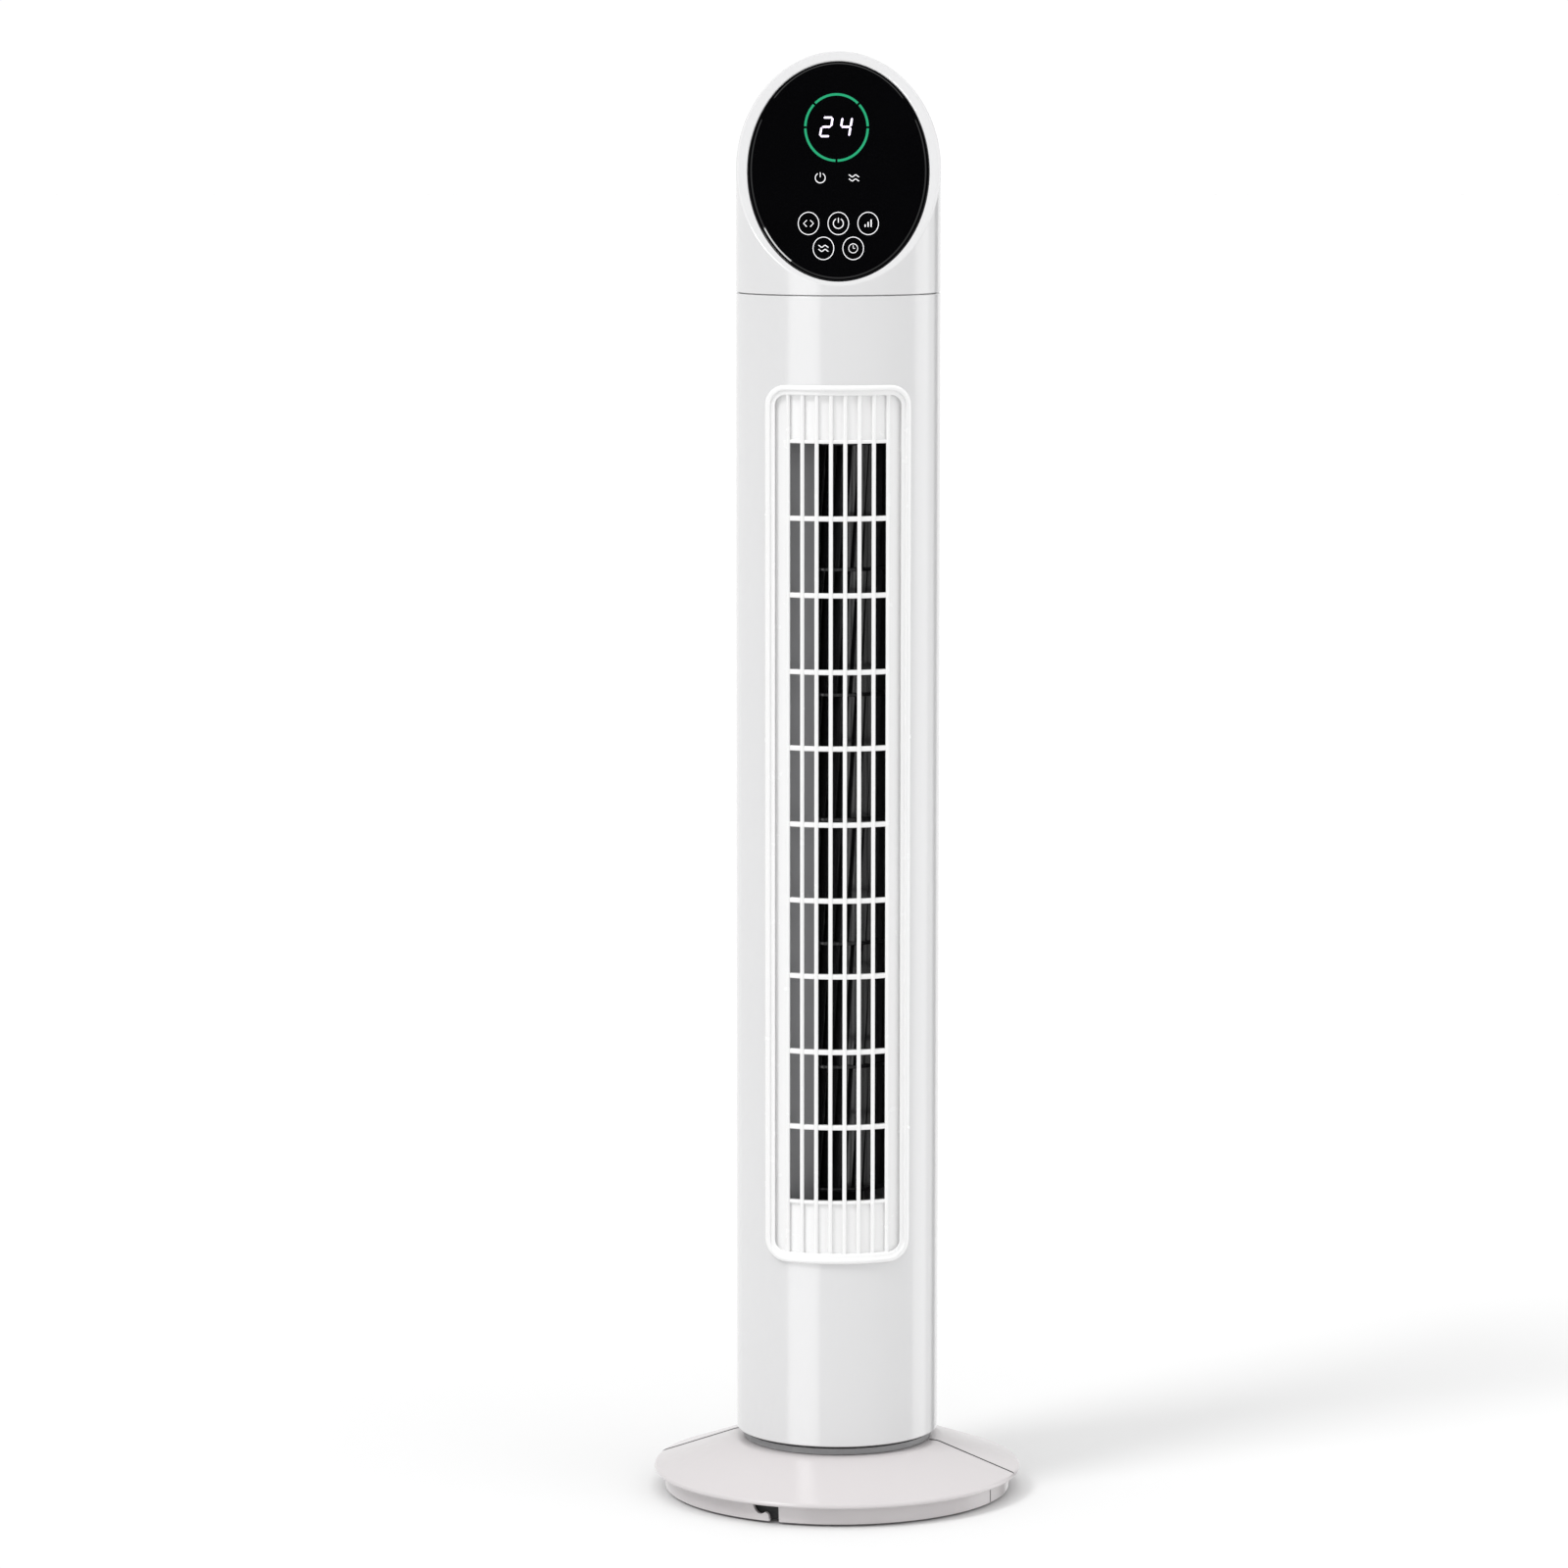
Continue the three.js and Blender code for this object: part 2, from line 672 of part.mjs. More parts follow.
// Gives a plan curve a constant thickness on its left-hand side.
function thickened(curve, thickness) {
  const offset = curve.map(([x, y], i) => {
    const [ax, ay] = curve[Math.max(i - 1, 0)];
    const [bx, by] = curve[Math.min(i + 1, curve.length - 1)];
    const length = Math.hypot(bx - ax, by - ay);
    return [x - ((by - ay) / length) * thickness, y + ((bx - ax) / length) * thickness];
  });
  return outline([...curve, ...offset.reverse()]);
}

// The scroll opens out from the rear of the impeller round its right side to the outlet.
function scrollOutline() {
  const curve = [];
  const steps = 12;
  for (let i = 0; i <= steps; i += 1) {
    const [x, y] = polar(40.5 + (11 * i) / steps, 65 - (110 * i) / steps);
    curve.push([x, fan.y + y]);
  }
  curve.push([duct.outletX, duct.outletY]);
  return thickened(curve, duct.wall);
}

// The tongue closes the left side of the outlet and ends close to the blades.
function tongueOutline() {
  const curve = [[-duct.outletX, duct.outletY]];
  const steps = 5;
  for (let i = 0; i <= steps; i += 1) {
    const [x, y] = polar(41.6, -112 - (38 * i) / steps);
    curve.push([x, fan.y + y]);
  }
  return thickened(curve, -duct.wall);
}

// Motor and impeller.

function damperPlaces() {
  return [90, 210, 330].map((angle) => polar(motor.mountCircle, angle));
}

function motorHousingBody() {
  const { bottom, top, radius, wall, shaftHole, lugRadius, lugHole, lugBottom, lugTop } = motor;
  const profile = [
    [0, bottom],
    [radius, bottom],
    [radius, top],
    [shaftHole, top],
    [shaftHole, top - wall],
    [radius - wall, top - wall],
    [radius - wall, bottom + wall],
    [0, bottom + wall],
  ];
  const can = turned(profile, 24, 0, fan.y);
  const lugs = damperPlaces().map(([x, y]) => disc(lugRadius, lugBottom, lugTop, 10, x, fan.y + y));
  const holes = damperPlaces().map(([x, y]) => disc(lugHole, lugBottom - 4, lugTop + 3, 8, x, fan.y + y));
  return cut(join(can, ...lugs), ...holes);
}

function statorBody() {
  const { coreBottom, coreTop, coreInner, coreOuter, coilInner, coilOuter, coilOverhang } = motor;
  const coilBottom = coreBottom - coilOverhang;
  const coilTop = coreTop + coilOverhang;
  const profile = [
    [coilInner, coilBottom],
    [coilOuter, coilBottom],
    [coilOuter, coreBottom],
    [coreOuter, coreBottom],
    [coreOuter, coreTop],
    [coilOuter, coreTop],
    [coilOuter, coilTop],
    [coilInner, coilTop],
    [coilInner, coreTop],
    [coreInner, coreTop],
    [coreInner, coreBottom],
    [coilInner, coreBottom],
  ];
  return turned(profile, 18, 0, fan.y);
}

// A rubber damper: a groove grips the motor's lug, a waist below the duct's floor carries the rest.
function damperBody() {
  const foot = 3.6;
  const waist = 2.3;
  const bodyRadius = 5.5;
  const stem = 2;
  const profile = [
    [0, motor.lugBottom - 5],
    [foot, motor.lugBottom - 5],
    [foot, motor.lugBottom - GAP],
    [waist, motor.lugBottom - GAP],
    [waist, motor.lugTop + GAP],
    [bodyRadius, motor.lugTop + GAP],
    [bodyRadius, duct.floor - GAP],
    [stem, duct.floor - GAP],
    [stem, duct.floor + duct.plate + 3],
    [0, duct.floor + duct.plate + 3],
  ];
  return turned(profile, 9);
}

// The rubber seat holds the top bearing in the duct's ceiling by a groove in its rim.
function bearingSeatBody() {
  const inner = topBearing.radius + GAP;
  const groove = duct.seatHole - GAP;
  const bottom = duct.ceiling;
  const top = duct.ceiling + duct.plate;
  const profile = [
    [inner, bottom - 3],
    [topBearing.seatRadius, bottom - 3],
    [topBearing.seatRadius, bottom - GAP],
    [groove, bottom - GAP],
    [groove, top + GAP],
    [topBearing.seatRadius, top + GAP],
    [topBearing.seatRadius, top + 3],
    [inner, top + 3],
  ];
  return turned(profile, 14, 0, fan.y);
}

function addMotor(parent) {
  addPart(parent, 'motor_housing', motorHousingBody(), finishes.steel);
  addPart(parent, 'motor_stator', statorBody(), finishes.copper);
  const damper = damperBody();
  damperPlaces().forEach(([x, y], i) => {
    addPart(parent, `motor_damper_${i + 1}`, damper, finishes.rubber).position.set(x, fan.y + y, 0);
  });
  addPart(parent, 'bearing_seat', bearingSeatBody(), finishes.rubber);
  const { boreRadius, radius, bottom, top } = topBearing;
  const bush = ring(boreRadius, radius, bottom, top, 12, 0, fan.y);
  addPart(parent, 'bearing_bush', bush, finishes.bronze);
}

// One blade of the impeller, leaning forward from its inner to its outer edge.
function bladeOutline(bearing) {
  const [innerX, innerY] = polar(fan.innerRadius, bearing);
  const [outerX, outerY] = polar(fan.radius - 0.6, bearing + fan.bladeSweep);
  const length = Math.hypot(outerX - innerX, outerY - innerY);
  const dx = ((outerY - innerY) / length) * (fan.bladeThickness / 2);
  const dy = ((outerX - innerX) / length) * (fan.bladeThickness / 2);
  return outline([
    [innerX - dx, innerY + dy],
    [innerX + dx, innerY - dy],
    [outerX + dx, outerY - dy],
    [outerX - dx, outerY + dy],
  ]);
}

function impellerBody() {
  const pitch = (fan.top - fan.bottom - fan.disc) / fan.segments;
  const step = 360 / fan.blades;
  const pieces = [];
  for (let segment = 0; segment < fan.segments; segment += 1) {
    const bottom = fan.bottom + segment * pitch + fan.disc / 2;
    for (let blade = 0; blade < fan.blades; blade += 1) {
      const bearing = (blade + segment / fan.segments) * step;
      pieces.push(upright(bladeOutline(bearing), bottom, bottom + pitch));
    }
  }
  for (let i = 1; i < fan.segments; i += 1) {
    const bottom = fan.bottom + i * pitch;
    pieces.push(ring(fan.innerRadius - 1.5, fan.radius, bottom, bottom + fan.disc, 28));
  }
  pieces.push(disc(fan.radius, fan.bottom, fan.bottom + fan.disc, 28));
  pieces.push(ring(13.4, 16.5, fan.bottom - 12, fan.bottom + 1, 16));
  pieces.push(disc(fan.radius, fan.top - fan.disc, fan.top, 28));
  pieces.push(disc(7, fan.top - 1, fan.top + 8, 12));
  const axleHole = disc(3.4, fan.top - 10, fan.top + 10, 12);
  return cut(join(...pieces), axleHole).translate([0, fan.y, 0]);
}

function rotorBody() {
  const { shaftRadius, shaftBottom, shaftTop, rotorRadius, coreBottom, coreTop } = motor;
  const profile = [
    [0, shaftBottom],
    [shaftRadius, shaftBottom],
    [shaftRadius, coreBottom],
    [rotorRadius, coreBottom],
    [rotorRadius, coreTop],
    [shaftRadius, coreTop],
    [shaftRadius, shaftTop],
    [0, shaftTop],
  ];
  return turned(profile, 18, 0, fan.y);
}

function addImpeller(parent) {
  const { bottom, top, boreRadius, radius } = impellerHub;
  addPart(parent, 'motor_rotor', rotorBody(), finishes.steel);
  addPart(parent, 'impeller_hub', ring(boreRadius, radius, bottom, top, 20, 0, fan.y), finishes.rubber);
  addPart(parent, 'impeller', impellerBody(), finishes.blackPlastic);
  const axle = disc(topBearing.axleRadius, fan.top - 8, topBearing.top - 1.5, 16, 0, fan.y);
  addPart(parent, 'impeller_axle', axle, finishes.steel);
}

function addPinion(parent) {
  const teeth = upright(
    gearOutline(swing.pinionTeeth, 0, swing.pinionTeeth - 1, 0),
    swing.gearBottom + 0.4,
    swing.gearTop - 0.4,
  );
  const turnedHalfTooth = teeth.rotate([0, 0, 180 / swing.pinionTeeth]);
  const shaftTop = drive.motorBottom + drive.shaftDepth - 0.5;
  const shaft = disc(drive.shaftRadius, swing.gearBottom + 0.4, shaftTop, 12);
  const pinion = join(turnedHalfTooth, shaft);
  addPart(parent, 'swing_pinion', pinion.translate([PINION_X, 0, 0]), finishes.naturalPlastic);
}

// Head: an obliquely cut cap. Its flat face carries the oval panel.

// The cap seen from the side, shrunk inwards by an inset, with a small round at its rear tip.
function capSide(inset, bottom) {
  const tip = Math.max(panel.tipRadius - inset, 0.4);
  const rear = COLUMN_RADIUS - inset;
  const lift = inset / Math.sin(radians(panel.slope));
  const faceHeight = (y) => panel.frontFoot - lift + (y + COLUMN_RADIUS) * RISE;
  const centre = rear - tip;
  const centreHeight = faceHeight(centre) - tip / Math.sin(radians(panel.slope));
  const shape = new THREE.Shape();
  shape.moveTo(-COLUMN_RADIUS - 20, bottom);
  shape.lineTo(rear, bottom);
  shape.absarc(centre, centreHeight, tip, 0, radians(180 - panel.slope), false);
  shape.lineTo(-COLUMN_RADIUS - 20, faceHeight(-COLUMN_RADIUS - 20));
  return shape;
}

function headShell() {
  const bottom = HEAD_SEAM + GAP;
  const below = HEAD_SEAM - 60;
  const outer = disc(COLUMN_RADIUS, bottom, HEIGHT + 10, 56).intersect(sideOn(capSide(0, below), 80, 5));
  const inner = disc(COLUMN_RADIUS - WALL, bottom - 5, HEIGHT + 10, 48);
  return cut(outer, inner.intersect(sideOn(capSide(WALL, below), 80, 4)));
}

// Everything in front of the side plane, and within a band behind the sloping face.
function headFrontZone(margin) {
  const band = 10 + margin;
  const split = SPLIT_BEHIND + margin;
  const bandHeight = (y) => panel.frontFoot + (y - band + COLUMN_RADIUS) * RISE;
  const shape = outline([
    [-100, HEAD_SEAM - 10],
    [split, HEAD_SEAM - 10],
    [split, bandHeight(split)],
    [100, bandHeight(100)],
    [-100, bandHeight(100)],
  ]);
  return sideOn(shape, 90);
}

// Places a body drawn flat about the panel's centre, with +Z out of the panel, on the sloping face.
function onPanel(body) {
  return body.rotate([90 - panel.slope, 0, 0]).translate([0, PANEL_Y, panel.centreHeight]);
}

function addHead(parent) {
  const shell = headShell();
  const lensHole = upright(ellipse(panel.halfWidth + GAP, PANEL_HALF_LENGTH + GAP), -8, 8, 28);
  const front = cut(shell.intersect(headFrontZone(0)), onPanel(lensHole));
  addPart(parent, 'head_front', front, finishes.whitePlastic);
  addPart(parent, 'head_rear', cut(shell, headFrontZone(GAP)), finishes.whitePlastic);
}

function touchKeyPlaces() {
  return [[-18.5, -43.8], [0, -43.8], [18.5, -43.8], [-9.2, -63.7], [9.2, -63.7]];
}

function addPanel(parent) {
  const lens = upright(ellipse(panel.halfWidth, PANEL_HALF_LENGTH), -panel.thickness, 0.2, 28);
  addPart(parent, 'panel_lens', onPanel(lens), finishes.blackGloss);
  const boardTop = -panel.boardDepth;
  const board = block(66, 134, 1.6, 0, -5, boardTop - 1.6);
  addPart(parent, 'display_board', onPanel(board), finishes.board);
  const face = boardTop + GAP;
  const back = -panel.thickness - GAP;
  const ringShape = ellipse(20.8, 28.4, -1.2, 34);
  ringShape.holes.push(ellipse(18.2, 25.6, -1.2, 34));
  addPart(parent, 'ring_light', onPanel(upright(ringShape, face, back, 14)), finishes.lightGuide);
  addPart(parent, 'digit_display', onPanel(block(25, 21, back - face, -1.8, 34.8, face)), finishes.digits);
  touchKeyPlaces().forEach(([x, y], i) => {
    const spring = ring(3.2, 4.4, face, back, 10, x, y);
    addPart(parent, `touch_spring_${i + 1}`, onPanel(spring), finishes.steel);
  });
  addPart(parent, 'signal_receiver', onPanel(block(7, 6, 6, 0, -6, face)), finishes.blackPlastic);
}

function addElectronics(parent) {
  const { boardBottom, boardThickness, partsBottom } = electronics;
  const board = block(80, 58, boardThickness, 0, 0, boardBottom);
  addPart(parent, 'control_board', board, finishes.board);
  addPart(parent, 'transformer', block(32, 28, 26, -19, 8, partsBottom), finishes.copper);
  addPart(parent, 'run_capacitor', block(38, 18, 28, 16, -14, partsBottom), finishes.blackPlastic);
}

// Assembly.

const base = new THREE.Group();
base.rotation.z = radians(foot.turn);
addFoot(base);
addHub(base);

const column = new THREE.Group();
addTurntable(column);
addShells(column);
addPart(column, 'front_grille', grilleBody(), finishes.whitePlastic);
addDuct(column);
addMotor(column);
addHead(column);
addPanel(column);
addElectronics(column);
addImpeller(column);
addPinion(column);

const group = new THREE.Group();
group.add(base, column);

export default group;
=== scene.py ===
import math

import bmesh
import bpy
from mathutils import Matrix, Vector


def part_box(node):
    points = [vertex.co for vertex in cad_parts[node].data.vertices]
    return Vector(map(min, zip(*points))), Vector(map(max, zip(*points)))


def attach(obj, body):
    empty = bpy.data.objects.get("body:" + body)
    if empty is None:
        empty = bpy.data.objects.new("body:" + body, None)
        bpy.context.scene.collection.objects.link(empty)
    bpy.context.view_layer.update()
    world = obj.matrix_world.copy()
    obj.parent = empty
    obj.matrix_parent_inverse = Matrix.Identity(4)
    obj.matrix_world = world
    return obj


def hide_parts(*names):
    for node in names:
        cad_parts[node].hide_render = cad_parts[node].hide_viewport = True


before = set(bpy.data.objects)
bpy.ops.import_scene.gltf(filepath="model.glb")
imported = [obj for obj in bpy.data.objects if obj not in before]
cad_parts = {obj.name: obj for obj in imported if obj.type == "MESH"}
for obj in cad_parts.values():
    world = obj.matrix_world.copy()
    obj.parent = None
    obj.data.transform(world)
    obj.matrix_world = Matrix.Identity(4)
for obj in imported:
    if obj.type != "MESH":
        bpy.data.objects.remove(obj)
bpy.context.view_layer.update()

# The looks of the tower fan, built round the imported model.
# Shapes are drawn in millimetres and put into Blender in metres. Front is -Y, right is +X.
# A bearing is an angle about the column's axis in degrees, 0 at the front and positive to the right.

MM = 0.001
GAP = 0.3
WALL = 2.4


def box_mm(node):
    low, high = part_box(node)
    return low / MM, high / MM


# Driving dimensions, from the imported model.
head_low, head_high = box_mm("head_front")
column_low, column_high = box_mm("column_front")
grille_low, grille_high = box_mm("front_grille")
impeller_low, impeller_high = box_mm("impeller")
duct_low, duct_high = box_mm("scroll_wall")
_, lens_high = box_mm("panel_lens")

COLUMN_RADIUS = head_high.x
COLUMN_BOTTOM = column_low.z
COLUMN_TOP = column_high.z
HEAD_BOTTOM = head_low.z
SHELL_SPLIT = 91.4

PANEL_TILT = 49
FACE_FOOT = HEAD_BOTTOM + 6.2
FACE_RISE = math.tan(math.radians(PANEL_TILT))
PANEL_HALF_WIDTH = lens_high.x
PANEL_HALF_LENGTH = 89.17
PANEL_HEIGHT = FACE_FOOT + 70.1
PANEL_Y = -COLUMN_RADIUS + (PANEL_HEIGHT - FACE_FOOT) / FACE_RISE
LENS_TOP = 0.2
LENS_THICKNESS = 2.4

GRILLE_CENTRE = (grille_low.z + grille_high.z) / 2
GRILLE_HALF_WIDTH = grille_high.x
GRILLE_HALF_HEIGHT = (grille_high.z - grille_low.z) / 2
GRILLE_CORNER = 13
OPENING_BOTTOM = GRILLE_CENTRE - 236.95
OPENING_TOP = GRILLE_CENTRE + 240.75
RIB_PITCH = 8.85
RIB_COUNT = 8
CROSSBARS = 9

FAN_RADIUS = impeller_high.x
FAN_Y = (impeller_low.y + impeller_high.y) / 2
FAN_BOTTOM = impeller_low.z + 12
FAN_TOP = impeller_high.z - 8
FAN_SEGMENTS = 6

FOOT_TURN = -15
FOOT_RIM = 117.3


# Shapes: points and faces in millimetres.

class Shape:
    def __init__(self):
        self.points = []
        self.faces = []

    def loop(self, points):
        start = len(self.points)
        self.points.extend(tuple(p) for p in points)
        return list(range(start, len(self.points)))

    def bridge(self, first, second):
        for i in range(len(first)):
            j = (i + 1) % len(first)
            self.faces.append((first[i], first[j], second[j], second[i]))

    def skin(self, loops, closed=False):
        """Joins the loops in turn, then caps both ends, or joins the last loop to the first."""
        for first, second in zip(loops, loops[1:]):
            self.bridge(first, second)
        if closed:
            self.bridge(loops[-1], loops[0])
        else:
            self.faces += [tuple(loops[0]), tuple(loops[-1])]

    def add(self, *others):
        for other in others:
            start = len(self.points)
            self.points.extend(other.points)
            self.faces.extend(tuple(i + start for i in face) for face in other.faces)
        return self

    def moved(self, place):
        self.points = [tuple(place(*p)) for p in self.points]
        return self


def at(radius, bearing, height):
    angle = math.radians(bearing)
    return (radius * math.sin(angle), -radius * math.cos(angle), height)


def on_panel(u, v, w):
    """A point drawn flat about the panel's centre, with w out of the panel, on the sloping face."""
    tilt = math.radians(PANEL_TILT)
    y = PANEL_Y + v * math.cos(tilt) - w * math.sin(tilt)
    z = PANEL_HEIGHT + v * math.sin(tilt) + w * math.cos(tilt)
    return (u, y, z)


def fillet(corners, steps=4):
    """Rounds the corners of a closed outline. A corner is (x, y) or (x, y, radius)."""
    rounded = []
    for i, corner in enumerate(corners):
        point = Vector(corner[:2])
        if len(corner) == 2:
            rounded.append(tuple(point))
            continue
        radius = corner[2]
        before = (Vector(corners[i - 1][:2]) - point).normalized()
        after = (Vector(corners[(i + 1) % len(corners)][:2]) - point).normalized()
        half = before.angle(after) / 2
        run = radius / math.tan(half)
        centre = point + (before + after).normalized() * radius / math.sin(half)
        start = point + before * run - centre
        end = point + after * run - centre
        first = math.atan2(start.y, start.x)
        turn = (math.atan2(end.y, end.x) - first + math.pi) % (2 * math.pi) - math.pi
        for k in range(steps + 1):
            angle = first + turn * k / steps
            rounded.append((centre.x + radius * math.cos(angle), centre.y + radius * math.sin(angle)))
    return rounded


def lathe(profile, start=0, end=360, steps=96, y=0):
    """A closed profile of (radius, height), turned from one bearing to another."""
    shape = Shape()
    whole = end - start >= 360
    loops = []
    for i in range(steps if whole else steps + 1):
        bearing = start + (end - start) * i / steps
        loops.append(shape.loop([at(radius, bearing, height) for radius, height in profile]))
    shape.skin(loops, closed=whole)
    return shape.moved(lambda px, py, pz: (px, py + y, pz))


def tube(inner, outer, low, high, **turn):
    return lathe([(inner, low), (outer, low), (outer, high), (inner, high)], **turn)


def extrude(outline, low, high, place=lambda x, y, z: (x, y, z)):
    """A closed outline given depth. place turns (a, b, depth) into a point."""
    shape = Shape()
    bottom = shape.loop([place(a, b, low) for a, b in outline])
    top = shape.loop([place(a, b, high) for a, b in outline])
    shape.skin([bottom, top])
    return shape


def front_on(x, z, y):
    return (x, y, z)


def side_on(y, z, x):
    return (x, y, z)


def ribbon(line, width, low, high, place, closed=False):
    """A line of constant width, as a thin bar with a rectangular section."""
    shape = Shape()
    count = len(line)
    loops = []
    for i in range(count):
        before = Vector(line[i - 1] if closed or i > 0 else line[i])
        after = Vector(line[(i + 1) % count] if closed or i < count - 1 else line[i])
        along = (after - before).normalized()
        side = Vector((-along.y, along.x)) * width / 2
        point = Vector(line[i])
        left = point + side
        right = point - side
        loops.append(shape.loop([
            place(left.x, left.y, low),
            place(right.x, right.y, low),
            place(right.x, right.y, high),
            place(left.x, left.y, high),
        ]))
    shape.skin(loops, closed)
    return shape


def arc(x, y, radius_x, radius_y, start, end, steps=24):
    points = []
    for i in range(steps + 1):
        angle = math.radians(start + (end - start) * i / steps)
        points.append((x + radius_x * math.cos(angle), y + radius_y * math.sin(angle)))
    return points


def circle(radius, x=0, y=0, steps=24):
    return arc(x, y, radius, radius, 0, 360 - 360 / steps, steps - 1)


def pierced_shell(inner, outer, bearings, heights, is_open):
    """A curved plate on a grid of bearings and heights, with the open cells left out."""
    shape = Shape()
    columns = len(bearings) - 1
    rows = len(heights) - 1
    corner = {}
    for i, bearing in enumerate(bearings):
        for j, height in enumerate(heights):
            corner[i, j] = shape.loop([at(outer, bearing, height), at(inner, bearing, height)])

    def solid(i, j):
        return 0 <= i < columns and 0 <= j < rows and not is_open(i, j)

    for i in range(columns):
        for j in range(rows):
            if not solid(i, j):
                continue
            a, b, c, d = corner[i, j], corner[i + 1, j], corner[i + 1, j + 1], corner[i, j + 1]
            shape.faces.append((a[0], b[0], c[0], d[0]))
            shape.faces.append((d[1], c[1], b[1], a[1]))
            for near, far, di, dj in ((a, b, 0, -1), (b, c, 1, 0), (c, d, 0, 1), (d, a, -1, 0)):
                if not solid(i + di, j + dj):
                    shape.faces.append((near[0], near[1], far[1], far[0]))
    return shape


# Pieces: Blender objects that ride on the model's bodies.

def place_in_scene(name, data):
    thing = bpy.data.objects.new(name, data)
    bpy.context.scene.collection.objects.link(thing)
    return thing


def object_of(name, shape):
    mesh = bpy.data.meshes.new(name)
    mesh.from_pydata([Vector(p) * MM for p in shape.points], [], shape.faces)
    work = bmesh.new()
    work.from_mesh(mesh)
    bmesh.ops.remove_doubles(work, verts=work.verts, dist=1e-3 * MM)
    bmesh.ops.dissolve_degenerate(work, edges=work.edges, dist=1e-3 * MM)
    loose = [v for v in work.verts if not v.link_faces]
    bmesh.ops.delete(work, geom=loose, context="VERTS")
    bmesh.ops.recalc_face_normals(work, faces=work.faces)
    work.to_mesh(mesh)
    work.free()
    return place_in_scene(name, mesh)


def apply_modifiers(obj):
    bpy.context.view_layer.update()
    graph = bpy.context.evaluated_depsgraph_get()
    mesh = bpy.data.meshes.new_from_object(obj.evaluated_get(graph))
    old = obj.data
    obj.modifiers.clear()
    obj.data = mesh
    bpy.data.meshes.remove(old)


def carve(obj, shape, operation="DIFFERENCE"):
    cutter = object_of("cutter", shape)
    modifier = obj.modifiers.new("carve", "BOOLEAN")
    modifier.object = cutter
    modifier.operation = operation
    modifier.solver = "EXACT"
    apply_modifiers(obj)
    bpy.data.objects.remove(cutter)


def soften(obj, width, segments=2, angle=40):
    """Rounds the sharp edges."""
    modifier = obj.modifiers.new("soften", "BEVEL")
    modifier.width = width * MM
    modifier.segments = segments
    modifier.limit_method = "ANGLE"
    modifier.angle_limit = math.radians(angle)
    modifier.loop_slide = False
    apply_modifiers(obj)


def finish_piece(obj, finish, body, replaced=(), crisp=35):
    """Smooth shading with crisp edges, a finish, a body, and the CAD nodes it stands for."""
    obj.data.shade_smooth()
    obj.data.set_sharp_from_angle(angle=math.radians(crisp))
    weighted = obj.modifiers.new("normals", "WEIGHTED_NORMAL")
    weighted.keep_sharp = True
    obj.data.materials.clear()
    obj.data.materials.append(finishes[finish])
    if replaced:
        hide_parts(*replaced)
    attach(obj, body)


# Materials. Nearly all values of a noise texture lie between NOISE_LOW and NOISE_HIGH.

NOISE_LOW, NOISE_HIGH = 0.3, 0.7
CLOUD_SCALE = 14
GRAINS_IN_A_PATCH = 8
RELIEF_DEPTH = 0.1


def shader_of(material):
    return material.node_tree.nodes["Principled BSDF"]


def add_noise(material, place, scale, detail):
    noise = material.node_tree.nodes.new("ShaderNodeTexNoise")
    noise.inputs["Scale"].default_value = scale
    noise.inputs["Detail"].default_value = detail
    material.node_tree.links.new(place.outputs["Object"], noise.inputs["Vector"])
    return noise


def new_material(name, color, roughness, metallic=0, bump=0.02, grain=900, mottle=0.015):
    """Principled shader with slight cloudiness in colour, uneven gloss and a fine moulded grain."""
    material = bpy.data.materials.new(name)
    material.use_nodes = True
    nodes = material.node_tree.nodes
    links = material.node_tree.links
    shader = shader_of(material)
    shader.inputs["Metallic"].default_value = metallic

    place = nodes.new("ShaderNodeTexCoord")
    cloud = add_noise(material, place, CLOUD_SCALE, 3)
    tint = nodes.new("ShaderNodeValToRGB")
    tint.color_ramp.elements[0].position = NOISE_LOW
    tint.color_ramp.elements[1].position = NOISE_HIGH
    tint.color_ramp.elements[0].color = [c * (1 - mottle) for c in color] + [1]
    tint.color_ramp.elements[1].color = [min(1, c * (1 + mottle)) for c in color] + [1]
    links.new(cloud.outputs["Fac"], tint.inputs["Fac"])
    links.new(tint.outputs["Color"], shader.inputs["Base Color"])

    gloss = add_noise(material, place, grain / GRAINS_IN_A_PATCH, 4)
    spread = nodes.new("ShaderNodeMapRange")
    spread.inputs["From Min"].default_value = NOISE_LOW
    spread.inputs["From Max"].default_value = NOISE_HIGH
    spread.inputs["To Min"].default_value = roughness[0]
    spread.inputs["To Max"].default_value = roughness[1]
    links.new(gloss.outputs["Fac"], spread.inputs["Value"])
    links.new(spread.outputs["Result"], shader.inputs["Roughness"])

    fine = add_noise(material, place, grain, 2)
    relief = nodes.new("ShaderNodeBump")
    relief.inputs["Strength"].default_value = bump
    relief.inputs["Distance"].default_value = RELIEF_DEPTH * MM
    links.new(fine.outputs["Fac"], relief.inputs["Height"])
    links.new(relief.outputs["Normal"], shader.inputs["Normal"])
    return material


def moulded_white(name, color, roughness):
    return new_material(name, color, roughness, bump=0.01, mottle=0.006)


def matt_grey(name, color):
    return new_material(name, color, (0.4, 0.55), bump=0.15, grain=1400, mottle=0.05)


def case_white():
    """The column's plastic, with a stronger gloss than the rest."""
    material = moulded_white("case_white", (0.635, 0.635, 0.64), (0.14, 0.19))
    shader_of(material).inputs["Specular IOR Level"].default_value = 0.9
    return material


# Painted light: the column's white plastic, made brighter for the grille so that its ribs and frame
# look lit.
def grille_white_painted_light():
    return moulded_white("grille_white_painted_light", (0.8, 0.8, 0.8), (0.2, 0.28))


def foot_white():
    return moulded_white("foot_white", (0.55, 0.525, 0.53), (0.2, 0.27))


def duct_grey():
    return matt_grey("duct_grey", (0.26, 0.26, 0.265))


# Painted light: the duct's grey, made lighter for the tongue wall so that it looks lit through the
# grille.
def tongue_grey_painted_light():
    return matt_grey("tongue_grey_painted_light", (0.34, 0.34, 0.35))


